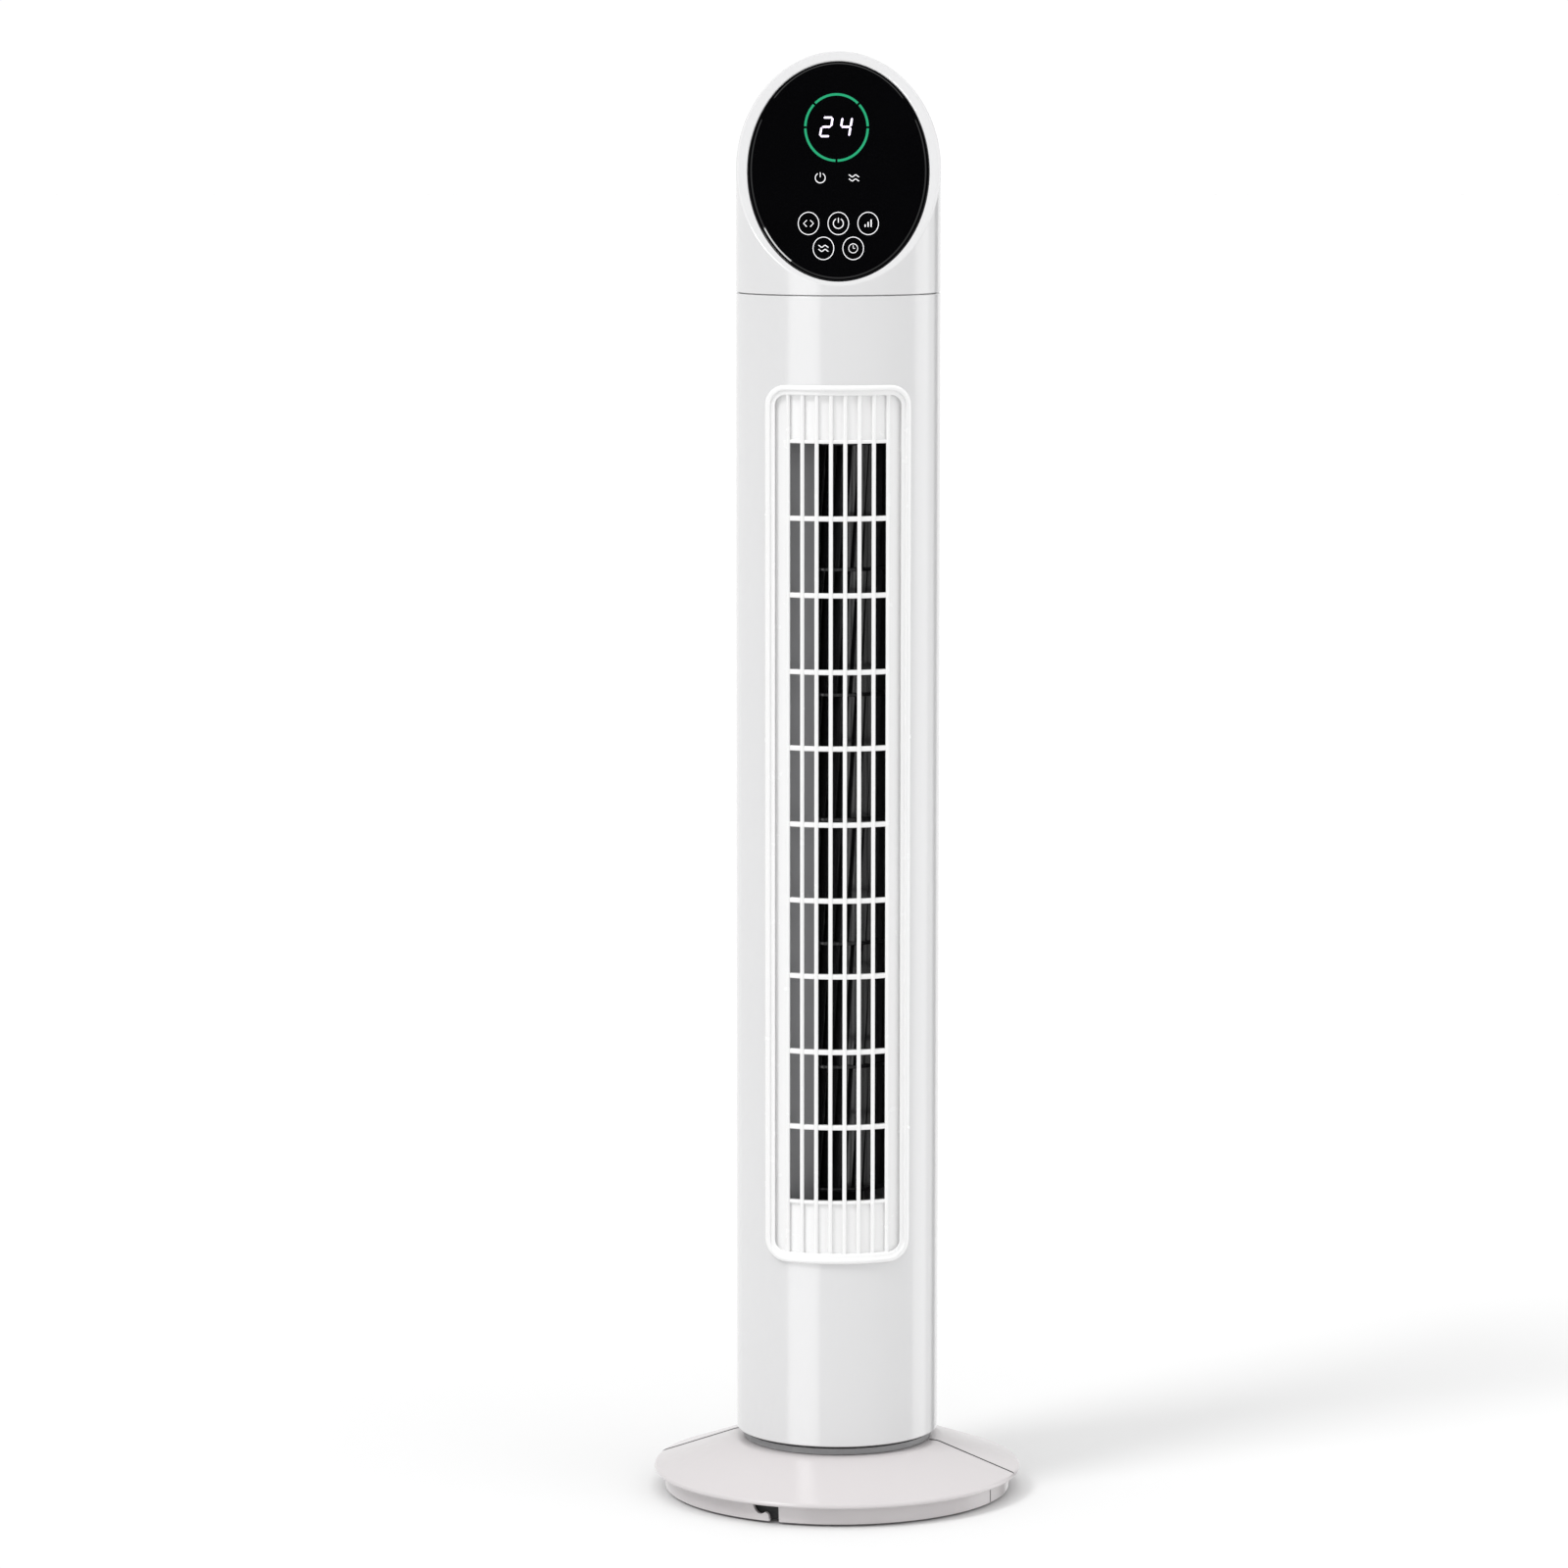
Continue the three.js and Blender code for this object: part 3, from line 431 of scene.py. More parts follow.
def natural_nylon():
    material = new_material("natural_nylon", (0.78, 0.74, 0.64), (0.35, 0.5), bump=0.08, mottle=0.03)
    shader_of(material).inputs["Subsurface Weight"].default_value = 0.15
    return material


def black_plastic():
    return new_material("black_plastic", (0.012, 0.012, 0.013), (0.12, 0.2), bump=0.04, mottle=0.1)


def panel_gloss():
    black = (0.0015, 0.0015, 0.0018)
    material = new_material("panel_gloss", black, (0.02, 0.04), bump=0.004, mottle=0.1)
    shader_of(material).inputs["Specular IOR Level"].default_value = 0.4
    return material


def rubber():
    black = (0.025, 0.025, 0.026)
    return new_material("rubber", black, (0.75, 0.9), bump=0.35, grain=2200, mottle=0.12)


def steel():
    color = (0.56, 0.57, 0.59)
    return new_material("steel", color, (0.22, 0.38), metallic=1, bump=0.06, grain=2600, mottle=0.05)


def bronze():
    color = (0.46, 0.33, 0.17)
    return new_material("bronze", color, (0.35, 0.5), metallic=1, bump=0.2, grain=3000, mottle=0.12)


def copper():
    """Varnished windings, with fine turns of wire as bands."""
    red_brown = (0.5, 0.24, 0.11)
    material = new_material("copper", red_brown, (0.25, 0.4), metallic=0.8, bump=0.1, mottle=0.12)
    nodes = material.node_tree.nodes
    links = material.node_tree.links
    turns = nodes.new("ShaderNodeTexWave")
    turns.bands_direction = "Z"
    turns.inputs["Scale"].default_value = 400
    turns.inputs["Distortion"].default_value = 1.5
    links.new(nodes["Texture Coordinate"].outputs["Object"], turns.inputs["Vector"])
    relief = nodes["Bump"]
    links.new(turns.outputs["Fac"], relief.inputs["Height"])
    relief.inputs["Strength"].default_value = 0.6
    return material


def circuit_board():
    """Green solder mask with slightly raised tracks."""
    material = new_material("circuit_board", (0.03, 0.15, 0.07), (0.3, 0.45), bump=0.2, mottle=0.2)
    nodes = material.node_tree.nodes
    links = material.node_tree.links
    tracks = nodes.new("ShaderNodeTexBrick")
    tracks.inputs["Scale"].default_value = 60
    tracks.inputs["Color1"].default_value = (0.02, 0.12, 0.05, 1)
    tracks.inputs["Color2"].default_value = (0.03, 0.16, 0.07, 1)
    tracks.inputs["Mortar"].default_value = (0.07, 0.26, 0.12, 1)
    links.new(nodes["Texture Coordinate"].outputs["Object"], tracks.inputs["Vector"])
    links.new(tracks.outputs["Color"], shader_of(material).inputs["Base Color"])
    return material


def glowing(name, color, glow, strength):
    material = new_material(name, color, (0.3, 0.4), bump=0.02, mottle=0.03)
    shader = shader_of(material)
    shader.inputs["Emission Color"].default_value = (*glow, 1)
    shader.inputs["Emission Strength"].default_value = strength
    return material


def light_guide():
    return glowing("light_guide", (0.004, 0.06, 0.03), (0.008, 0.44, 0.19), 0.75)


def digits():
    return glowing("digits", (0.6, 0.55, 0.7), (0.9, 0.78, 1.0), 1.1)


# Painted light: the printed key marks are made to glow, though print is no lamp.
def key_print_painted_glow():
    return glowing("key_print_painted_glow", (0.6, 0.6, 0.61), (0.8, 0.8, 0.82), 0.55)


finish_makers = [
    case_white, foot_white, duct_grey, natural_nylon, black_plastic, panel_gloss, rubber, steel,
    copper, bronze, circuit_board, light_guide, digits, grille_white_painted_light, key_print_painted_glow, tongue_grey_painted_light,
]
finishes = {make.__name__: make() for make in finish_makers}

# The finish of each CAD node, by the start of its name.
node_finishes = {
    "case_white": ["column_", "front_grille", "head_", "neck_ring"],
    "foot_white": ["base_front", "base_rear"],
    "duct_grey": ["duct_", "scroll_wall", "tongue_wall", "pivot_hub", "turntable_plate"],
    "natural_nylon": ["slip_ring", "ring_gear", "swing_pinion"],
    "black_plastic": ["impeller", "hub_nut", "signal_receiver", "run_capacitor"],
    "panel_gloss": ["panel_lens"],
    "rubber": ["foot_pad", "cord_gland", "motor_damper", "bearing_seat", "impeller_hub"],
    "steel": ["base_screw", "case_screw", "swing_motor", "motor_housing", "motor_rotor",
              "touch_spring", "impeller_axle"],
    "copper": ["motor_stator", "transformer"],
    "bronze": ["bearing_bush"],
    "circuit_board": ["display_board", "control_board"],
    "light_guide": ["ring_light"],
    "digits": ["digit_display"],
}


def finish_cad_nodes():
    for finish, starts in node_finishes.items():
        for name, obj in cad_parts.items():
            if any(name.startswith(start) for start in starts):
                obj.data.materials.clear()
                obj.data.materials.append(finishes[finish])


# Column.

def rounded_rectangle(half_width, half_height, corner, corner_steps=8, side_steps=24):
    """Points of (x, height above the middle), close enough on the flat ends to follow a curve."""
    x, z = half_width - corner, half_height - corner
    points = []
    points += arc(x, z, corner, corner, 0, 90, corner_steps)
    points += [(x - 2 * x * i / side_steps, half_height) for i in range(1, side_steps)]
    points += arc(-x, z, corner, corner, 90, 180, corner_steps)
    points += arc(-x, -z, corner, corner, 180, 270, corner_steps)
    points += [(-x + 2 * x * i / side_steps, -half_height) for i in range(1, side_steps)]
    points += arc(x, -z, corner, corner, 270, 360, corner_steps)
    return points


WINDOW_INSET = 1.5
WINDOW_CORNER = GRILLE_CORNER - 2
SHELL_STEPS = 96


def build_column_front():
    """The front shell, with a window that ends under the grille's frame."""
    inner = COLUMN_RADIUS - WALL
    profile = fillet([
        (inner, COLUMN_BOTTOM),
        (COLUMN_RADIUS, COLUMN_BOTTOM, 0.9),
        (COLUMN_RADIUS, COLUMN_TOP, 0.6),
        (inner, COLUMN_TOP),
    ])
    shell = object_of("column_front_shell", lathe(profile, -SHELL_SPLIT, SHELL_SPLIT, SHELL_STEPS))
    window = rounded_rectangle(
        GRILLE_HALF_WIDTH - WINDOW_INSET, GRILLE_HALF_HEIGHT - WINDOW_INSET, WINDOW_CORNER)
    window = [(x, GRILLE_CENTRE + z) for x, z in window]
    cut_front, cut_back = -90, -30
    carve(shell, extrude(window, cut_front, cut_back, front_on))
    finish_piece(shell, "case_white", "column", ["column_front"])


INTAKE_SLOTS = 13
INTAKE_ROWS = 5
INTAKE_BOTTOM = 182
INTAKE_TOP = 666
INTAKE_BAR = 5
SLOT_ANGLE = 5.2
SLOT_PITCHES = 23
SIDE_STEPS = 10
INTAKE_ROUNDING = 0.55
CASE_SCREWS = 4


def build_column_rear():
    """The rear shell, pierced by the intake's slots. SLOT_PITCHES of them would go round it all."""
    start = SHELL_SPLIT + GAP
    pitch = (360 - 2 * start) / SLOT_PITCHES
    slots = []
    for i in range(INTAKE_SLOTS):
        bearing = 180 + (i - (INTAKE_SLOTS - 1) / 2) * pitch
        slots.append((bearing - SLOT_ANGLE / 2, bearing + SLOT_ANGLE / 2))
    bearings = [start + (slots[0][0] - start) * i / SIDE_STEPS for i in range(SIDE_STEPS + 1)]
    open_columns = set()
    for low, high in slots:
        if slots[0][0] < low:
            bearings += [(bearings[-1] + low) / 2, low]
        open_columns |= {len(bearings) - 1, len(bearings)}
        bearings += [(low + high) / 2, high]
    last = bearings[-1]
    bearings += [last + (360 - start - last) * i / SIDE_STEPS for i in range(1, SIDE_STEPS + 1)]

    row_pitch = (INTAKE_TOP - INTAKE_BOTTOM + INTAKE_BAR) / INTAKE_ROWS
    heights = [COLUMN_BOTTOM]
    open_rows = set()
    for row in range(INTAKE_ROWS):
        bottom = INTAKE_BOTTOM + row * row_pitch
        open_rows.add(len(heights))
        heights += [bottom, bottom + row_pitch - INTAKE_BAR]
    heights.append(COLUMN_TOP)

    def is_open(i, j):
        return i in open_columns and j in open_rows

    plate = pierced_shell(COLUMN_RADIUS - WALL, COLUMN_RADIUS, bearings, heights, is_open)
    shell = object_of("column_rear_shell", plate)
    soften(shell, INTAKE_ROUNDING, 3)
    for i in range(1, CASE_SCREWS + 1):
        carve(shell, screw_well(f"case_screw_{i}"))
    finish_piece(shell, "case_white", "column", ["column_rear"])


def screw_frame(node):
    """A function that places points about a case screw, given as (across, up, radius from the axis)."""
    low, high = box_mm(node)
    middle = (low + high) / 2
    bearing = math.atan2(middle.x, -middle.y)
    along = Vector((math.sin(bearing), -math.cos(bearing), 0))
    side = Vector((math.cos(bearing), math.sin(bearing), 0))
    up = Vector((0, 0, 1))

    def place(a, b, radius):
        return along * radius + side * a + up * (b + middle.z)

    return place


WELL_RADIUS = 3.8
SCREW_SINK = 0.6


def screw_well(node):
    low, high = COLUMN_RADIUS - 12, COLUMN_RADIUS + 6
    return extrude(circle(WELL_RADIUS), low, high, screw_frame(node))


def screw_shape(place, head_top):
    """A pan head and its shank, as rings of (radius, depth below the head's top)."""
    shape = Shape()
    shank = [(1.5, -10), (1.5, -2.2)]
    head = [(3.1, -2.2), (3.4, -1.9), (3.4, -0.9), (3.1, -0.4), (2.3, -0.06), (1.6, 0)]
    loops = []
    for radius, depth in shank + head:
        loops.append(shape.loop([place(a, b, head_top + depth) for a, b in circle(radius)]))
    shape.skin(loops)
    return shape


def cross_recess(place, head_top):
    half, reach, depth, above = 0.35, 1.8, 1.3, 1
    outline = [
        (half, half), (half, reach), (-half, reach), (-half, half), (-reach, half), (-reach, -half),
        (-half, -half), (-half, -reach), (half, -reach), (half, -half), (reach, -half), (reach, half),
    ]
    return extrude(outline, head_top - depth, head_top + above, place)


def build_screw(name, node, body, place, top):
    screw = object_of(name, screw_shape(place, top))
    carve(screw, cross_recess(place, top))
    finish_piece(screw, "steel", body, [node])


def build_case_screws():
    for i in range(1, CASE_SCREWS + 1):
        node = f"case_screw_{i}"
        top = COLUMN_RADIUS - SCREW_SINK
        build_screw(f"case_screw_head_{i}", node, "column", screw_frame(node), top)


BASE_SCREWS = 4


def build_base_screws():
    """Their heads face down, under the foot."""
    for i in range(1, BASE_SCREWS + 1):
        node = f"base_screw_{i}"
        low, high = box_mm(node)
        middle = (low + high) / 2

        def place(a, b, depth):
            return (middle.x + a, middle.y + b, low.z - depth)

        build_screw(f"base_screw_head_{i}", node, "base", place, 0)


# Grille: a proud stepped frame, a back panel, eight upright ribs and the crossbars.

FRAME_INNER = 4.5
FLUTES_FRONT = 62.2
FLUTES_BACK = 60
RIB_REACH = (RIB_COUNT - 1) / 2 * RIB_PITCH
GRILLE_STEPS = 28


def bearing_at(x, radius):
    return math.degrees(math.asin(x / radius))


def grille_frame():
    """The frame's section, as (inset from the outline, radius), led round the rounded rectangle."""
    shape = Shape()
    outer_edge = [(1.8, 60.2), (1.8, 64.1), (0.0, 64.1), (0.05, 65.2), (0.3, 65.85), (0.8, 66.3)]
    crest = [(1.5, 66.55), (2.4, 66.6), (3.0, 66.45), (3.4, 66.05), (3.6, 65.6), (3.9, 65.35)]
    inner_step = [(5.5, 65.25), (6.1, 65.05), (6.4, 64.6), (6.5, 64.0), (6.5, 60.2)]
    loops = []
    for inset, radius in outer_edge + crest + inner_step:
        outline = rounded_rectangle(
            GRILLE_HALF_WIDTH - inset, GRILLE_HALF_HEIGHT - inset, GRILLE_CORNER - inset)
        points = [(x, -math.sqrt(radius ** 2 - x ** 2), GRILLE_CENTRE + z) for x, z in outline]
        loops.append(shape.loop(points))
    shape.skin(loops, closed=True)
    return shape


def grille_panel():
    """The curved plate behind the ribs, open where the air comes out."""
    half_height = GRILLE_HALF_HEIGHT - FRAME_INNER
    edge = bearing_at(GRILLE_HALF_WIDTH - FRAME_INNER, FLUTES_FRONT)
    side = bearing_at(RIB_REACH, FLUTES_FRONT)
    bearings = [-edge, (-edge - side) / 2]
    first = len(bearings)
    bearings += [-side + 2 * side * i / GRILLE_STEPS for i in range(GRILLE_STEPS + 1)]
    bearings += [(edge + side) / 2, edge]
    heights = [GRILLE_CENTRE - half_height, OPENING_BOTTOM, OPENING_TOP, GRILLE_CENTRE + half_height]

    def is_open(i, j):
        return j == 1 and first <= i < first + GRILLE_STEPS

    return pierced_shell(FLUTES_BACK, FLUTES_FRONT, bearings, heights, is_open)


def grille_rib(x):
    front_radius, width, crown, back_rounding, into_panel = 64.6, 2.6, 0.9, 0.4, 0.4
    half_height = GRILLE_HALF_HEIGHT - FRAME_INNER + 1
    front = -math.sqrt(front_radius ** 2 - x ** 2)
    back = -math.sqrt(FLUTES_BACK ** 2 - x ** 2) + into_panel
    section = fillet([
        (x - width / 2, front, crown),
        (x + width / 2, front, crown),
        (x + width / 2, back, back_rounding),
        (x - width / 2, back, back_rounding),
    ])
    return extrude(section, GRILLE_CENTRE - half_height, GRILLE_CENTRE + half_height)


def grille_crossbar(height, half):
    front, back, front_rounding, back_rounding = 63.8, 60.2, 0.8, 0.4
    reach = bearing_at(RIB_REACH, front)
    section = fillet([
        (back, height - half, back_rounding),
        (front, height - half, front_rounding),
        (front, height + half, front_rounding),
        (back, height + half, back_rounding),
    ])
    return lathe(section, -reach, reach, GRILLE_STEPS)


def build_grille():
    """The crossbars include one along each end of the opening, which is thinner."""
    shape = Shape().add(grille_frame(), grille_panel())
    for i in range(RIB_COUNT):
        shape.add(grille_rib(-RIB_REACH + i * RIB_PITCH))
    bar_half, end_bar_half = 1.6, 1.2
    step = (OPENING_TOP - OPENING_BOTTOM) / (CROSSBARS + 1)
    for i in range(CROSSBARS + 2):
        half = end_bar_half if i in (0, CROSSBARS + 1) else bar_half
        shape.add(grille_crossbar(OPENING_BOTTOM + i * step, half))
    grille = object_of("front_grille_moulding", shape)
    # The grille's brighter white is painted light.
    finish_piece(grille, "grille_white_painted_light", "column", ["front_grille"], crisp=40)


# Head.

TIP_RADIUS = 2.2
TIP_STEPS = 6
EDGE_ROUNDING = 0.6
HEAD_STEPS = 144
SIDE_SPLIT = 1.5
BAND_BEHIND_FACE = 10


def face_height(y):
    return FACE_FOOT + (y + COLUMN_RADIUS) * FACE_RISE


def panel_oval(grow, w):
    points = []
    for i in range(HEAD_STEPS):
        angle = 2 * math.pi * i / HEAD_STEPS
        u = (PANEL_HALF_WIDTH + grow) * math.sin(angle)
        v = -(PANEL_HALF_LENGTH + grow) * math.cos(angle)
        points.append(on_panel(u, v, w))
    return points


def head_shape():
    """The whole cap: a tube cut off by the sloping face, with a rounded brim and the lens hole."""
    inner = COLUMN_RADIUS - WALL
    lift = WALL / math.cos(math.radians(PANEL_TILT))
    walls = []
    for i in range(HEAD_STEPS):
        bearing = 360 * i / HEAD_STEPS
        forward = math.cos(math.radians(bearing))
        brim = face_height(-COLUMN_RADIUS * forward)
        corner = Vector((COLUMN_RADIUS, brim))
        down = Vector((0, -1))
        inward = Vector((-1, forward * FACE_RISE)).normalized()
        half = down.angle(inward) / 2
        centre = corner + (down + inward).normalized() * TIP_RADIUS / math.sin(half)
        turn = math.pi - 2 * half
        nick = 0.3 * EDGE_ROUNDING
        wall = [
            (inner, HEAD_BOTTOM),
            (COLUMN_RADIUS - EDGE_ROUNDING, HEAD_BOTTOM),
            (COLUMN_RADIUS - nick, HEAD_BOTTOM + nick),
            (COLUMN_RADIUS, HEAD_BOTTOM + EDGE_ROUNDING),
        ]
        for k in range(TIP_STEPS + 1):
            angle = turn * k / TIP_STEPS
            tip = Vector((math.cos(angle), math.sin(angle))) * TIP_RADIUS
            wall.append((centre.x + tip.x, centre.y + tip.y))
        wall.append((inner, face_height(-inner * forward) - lift))
        walls.append([at(radius, bearing, height) for radius, height in wall])
    sections = list(zip(*walls))
    shape = Shape()
    loops = [shape.loop(points) for points in sections[:-1]]
    hole_edge = [(1.1, 0), (0.55, -0.13), (0.14, -0.5), (0, -0.95), (0, -WALL)]
    for grow, w in hole_edge:
        loops.append(shape.loop(panel_oval(GAP + grow, w)))
    loops.append(shape.loop(sections[-1]))
    shape.skin(loops, closed=True)
    return shape


def head_front_zone(margin):
    """Everything in front of the side plane, and within a band behind the sloping face."""
    band = BAND_BEHIND_FACE + margin
    split = SIDE_SPLIT + margin
    far, half_width = 100, 90
    bottom = HEAD_BOTTOM - 10

    def band_height(y):
        return face_height(y - band)

    top = band_height(far)
    outline = [(-far, bottom), (split, bottom), (split, band_height(split)), (far, top), (-far, top)]
    return extrude(outline, -half_width, half_width, side_on)


def build_head():
    front = object_of("head_front_shell", head_shape())
    carve(front, head_front_zone(0), "INTERSECT")
    finish_piece(front, "case_white", "column", ["head_front"])
    rear = object_of("head_rear_shell", head_shape())
    carve(rear, head_front_zone(GAP))
    finish_piece(rear, "case_white", "column", ["head_rear"])


def build_lens():
    """Black glass with a low border and a sloping step up from it."""
    shape = Shape()
    border = [(0, -LENS_THICKNESS), (0, -0.55), (-0.12, -0.32), (-0.35, -0.22), (-1.5, -0.18)]
    step_up = [(-1.65, -0.15), (-2.5, 0.16), (-2.65, 0.19), (-2.9, LENS_TOP)]
    loops = [shape.loop(panel_oval(grow, w)) for grow, w in border + step_up]
    shape.skin(loops)
    lens = object_of("panel_glass", shape)
    finish_piece(lens, "panel_gloss", "column", ["panel_lens"], crisp=50)


# What shows on the panel. It is drawn longer along the slope, so that it looks upright from the front.

STRETCH = 1.3
MARK_BOTTOM = LENS_TOP - 0.02
MARK_TOP = LENS_TOP + 0.06


def on_display(a, b, w):
    return on_panel(a, b * STRETCH, w)


def mark(line, width, closed=False):
    return ribbon(line, width, MARK_BOTTOM, MARK_TOP, on_display, closed)


def ring_marks():
    """The lit ring, in five arcs with short breaks between them."""
    shape = Shape()
    centre = (-1.2, 26.2)
    radii = (19.6, 20.9)
    width, half_break = 1.5, 1.9
    edges = [0, 45, 135, 180, 270, 360]
    for start, end in zip(edges, edges[1:]):
        shape.add(mark(arc(*centre, *radii, start + half_break, end - half_break, 32), width))
    return shape


SEGMENTS = {
    "top": ((0, 1), (1, 1)),
    "upper_left": ((0, 0.5), (0, 1)),
    "upper_right": ((1, 0.5), (1, 1)),
    "middle": ((0, 0.5), (1, 0.5)),
    "lower_left": ((0, 0), (0, 0.5)),
    "lower_right": ((1, 0), (1, 0.5)),
    "bottom": ((0, 0), (1, 0)),
}
DIGIT_BOTTOM = 20.6
DIGIT_WIDTH = 6
DIGIT_HEIGHT = 11.8
DIGIT_LEAN = 0.17
SEGMENT_WIDTH = 1.25
SEGMENT_END = 0.22


def segment_digit(names, left):
    shape = Shape()
    for name in names:
        start, end = (Vector((x * DIGIT_WIDTH, y * DIGIT_HEIGHT)) for x, y in SEGMENTS[name])
        along = (end - start).normalized()
        side = Vector((-along.y, along.x)) * SEGMENT_WIDTH / 2
        tip = along * SEGMENT_WIDTH / 2
        near, far = start + along * SEGMENT_END, end - along * SEGMENT_END
        outline = [near, near + tip + side, far - tip + side, far, far - tip - side, near + tip - side]
        leaning = [(left + p.x + DIGIT_LEAN * p.y, DIGIT_BOTTOM + p.y) for p in outline]
        shape.add(extrude(leaning, MARK_BOTTOM, MARK_TOP, on_display))
    return shape


def digit_marks():
    two = ["top", "upper_right", "middle", "lower_left", "bottom"]
    four = ["upper_left", "upper_right", "middle", "lower_right"]
    return segment_digit(two, -11.6).add(segment_digit(four, 0.6))


def power_symbol(x, y, size, width):
    shape = mark(arc(x, y, size, size, 120, 420, 26), width)
    return shape.add(mark([(x, y + size * 0.15), (x, y + size * 1.1)], width))


def breeze_symbol(x, y, size, width):
    """Two wavy lines."""
    shape = Shape()
    steps, wave = 16, 0.2
    for row in (-0.4, 0.4):
        line = []
        for i in range(steps + 1):
            share = i / steps * 2 - 1
            rise = row + wave * math.sin(math.pi * 1.5 * share)
            line.append((x + size * share, y + size * rise))
        shape.add(mark(line, width))
    return shape


def swing_symbol(x, y, size, width):
    """Two arrowheads that point outwards."""
    shape = Shape()
    for side in (-1, 1):
        inner = x + side * size * 0.35
        tip = (x + side * size, y)
        shape.add(mark([(inner, y + size * 0.65), tip, (inner, y - size * 0.65)], width))
    return shape


def speed_symbol(x, y, size, width):
    """Three bars that grow."""
    shape = Shape()
    for i, height in enumerate((0.5, 1.0, 1.5)):
        foot = x + (i - 1) * size * 0.6
        shape.add(mark([(foot, y - size * 0.7), (foot, y - size * 0.7 + size * height)], width * 1.4))
    return shape


def timer_symbol(x, y, size, width):
    """A clock's rim and hands, in thinner lines."""
    thin = width * 0.8
    shape = mark(circle(size * 0.9, x, y, 30), thin, closed=True)
    return shape.add(mark([(x + size * 0.4, y), (x, y), (x, y + size * 0.6)], thin))


def key_marks():
    """Five ringed keys in two rows, and two indicators above them."""
    shape = Shape()
    size, width, ring_width = 3.1, 0.5, 0.44
    upper_row, lower_row, indicator_row = -33.7, -49, -5.5
    keys = [
        (-18.5, upper_row, swing_symbol),
        (0, upper_row, power_symbol),
        (18.5, upper_row, speed_symbol),
        (-9.2, lower_row, breeze_symbol),
        (9.2, lower_row, timer_symbol),
    ]
    for x, y, symbol in keys:
        shape.add(mark(arc(x, y, 6.4, 6.9, 0, 354, 59), ring_width, closed=True))
        shape.add(symbol(x, y, size, width))
    shape.add(power_symbol(-11.3, indicator_row, size, width))
    shape.add(breeze_symbol(9.7, indicator_row, size + 0.1, width))
    return shape


def build_display():
    ring = object_of("ring_light_marks", ring_marks())
    finish_piece(ring, "light_guide", "column")
    number = object_of("digit_marks", digit_marks())
    finish_piece(number, "digits", "column")
    # The key marks' glow is painted light.
    keys = object_of("touch_key_marks", key_marks())
    finish_piece(keys, "key_print_painted_glow", "column")


# Air drive, seen through the grille.

def thick_curve(curve, thickness):
    """An outline that gives a plan curve a constant thickness on its left-hand side."""
    other = []
    for i, (x, y) in enumerate(curve):
        ax, ay = curve[max(i - 1, 0)]
        bx, by = curve[min(i + 1, len(curve) - 1)]
        length = math.hypot(bx - ax, by - ay)
        other.append((x - (by - ay) / length * thickness, y + (bx - ax) / length * thickness))
    return curve + other[::-1]


OUTLET_X, OUTLET_Y = 32.4, -47.3


def spiral(first_angle, turn, radius, growth, steps):
    """A plan curve round the impeller's axis."""
    points = []
    for i in range(steps + 1):
        angle = math.radians(first_angle + turn * i / steps)
        reach = radius + growth * i / steps
        points.append((reach * math.cos(angle), FAN_Y + reach * math.sin(angle)))
    return points


def build_scroll_wall():
    """The wall that widens round the impeller to the right edge of the outlet."""
    curve = spiral(first_angle=65, turn=-110, radius=40.5, growth=11, steps=40)
    outline = thick_curve(curve + [(OUTLET_X, OUTLET_Y)], 2)
    wall = object_of("scroll_wall_smooth", extrude(outline, duct_low.z, duct_high.z))
    finish_piece(wall, "duct_grey", "column", ["scroll_wall"])


def build_tongue_wall():
    """The wall from the left edge of the outlet, which curls back round the impeller."""
    curve = spiral(first_angle=-112, turn=-38, radius=41.6, growth=0, steps=14)
    outline = thick_curve([(-OUTLET_X, OUTLET_Y)] + curve, -2)
    wall = object_of("tongue_wall_smooth", extrude(outline, duct_low.z, duct_high.z))
    # The tongue wall's lighter grey is painted light.
    finish_piece(wall, "tongue_grey_painted_light", "column", ["tongue_wall"])


BLADES = 32
BLADE_INNER = 27
BLADE_SWEEP = 14
BLADE_SKEW = 9
BLADE_THICKNESS = 0.9
BLADE_CURL = 1.6
DISC_THICKNESS = 2.4
COLLAR_BOTTOM = FAN_BOTTOM - 12
AXLE_BOSS_TOP = FAN_TOP + 8


def blade_shape(bearing, bottom, top):
    """One curved blade, which leans as it rises."""
    shape = Shape()
    loops = []
    rows, steps = 5, 4
    outer = FAN_RADIUS - 0.5
    for row in range(rows + 1):
        share = row / rows
        lean = bearing + BLADE_SKEW * share
        line = []
        for i in range(steps + 1):
            reach = i / steps
            radius = BLADE_INNER + (outer - BLADE_INNER) * reach
            angle = math.radians(lean + BLADE_SWEEP * reach ** BLADE_CURL)
            line.append((radius * math.cos(angle), FAN_Y + radius * math.sin(angle)))
        section = thick_curve(line, BLADE_THICKNESS)
        height = bottom + (top - bottom) * share
        loops.append(shape.loop([(x, y, height) for x, y in section]))
    shape.skin(loops)
    return shape


def impeller_disc(bottom, inner):
    top, rounding = bottom + DISC_THICKNESS, 0.8
    rim = [(FAN_RADIUS, bottom, rounding), (FAN_RADIUS, top, rounding)]
    return lathe(fillet([(inner, bottom), *rim, (inner, top)]), steps=72, y=FAN_Y)


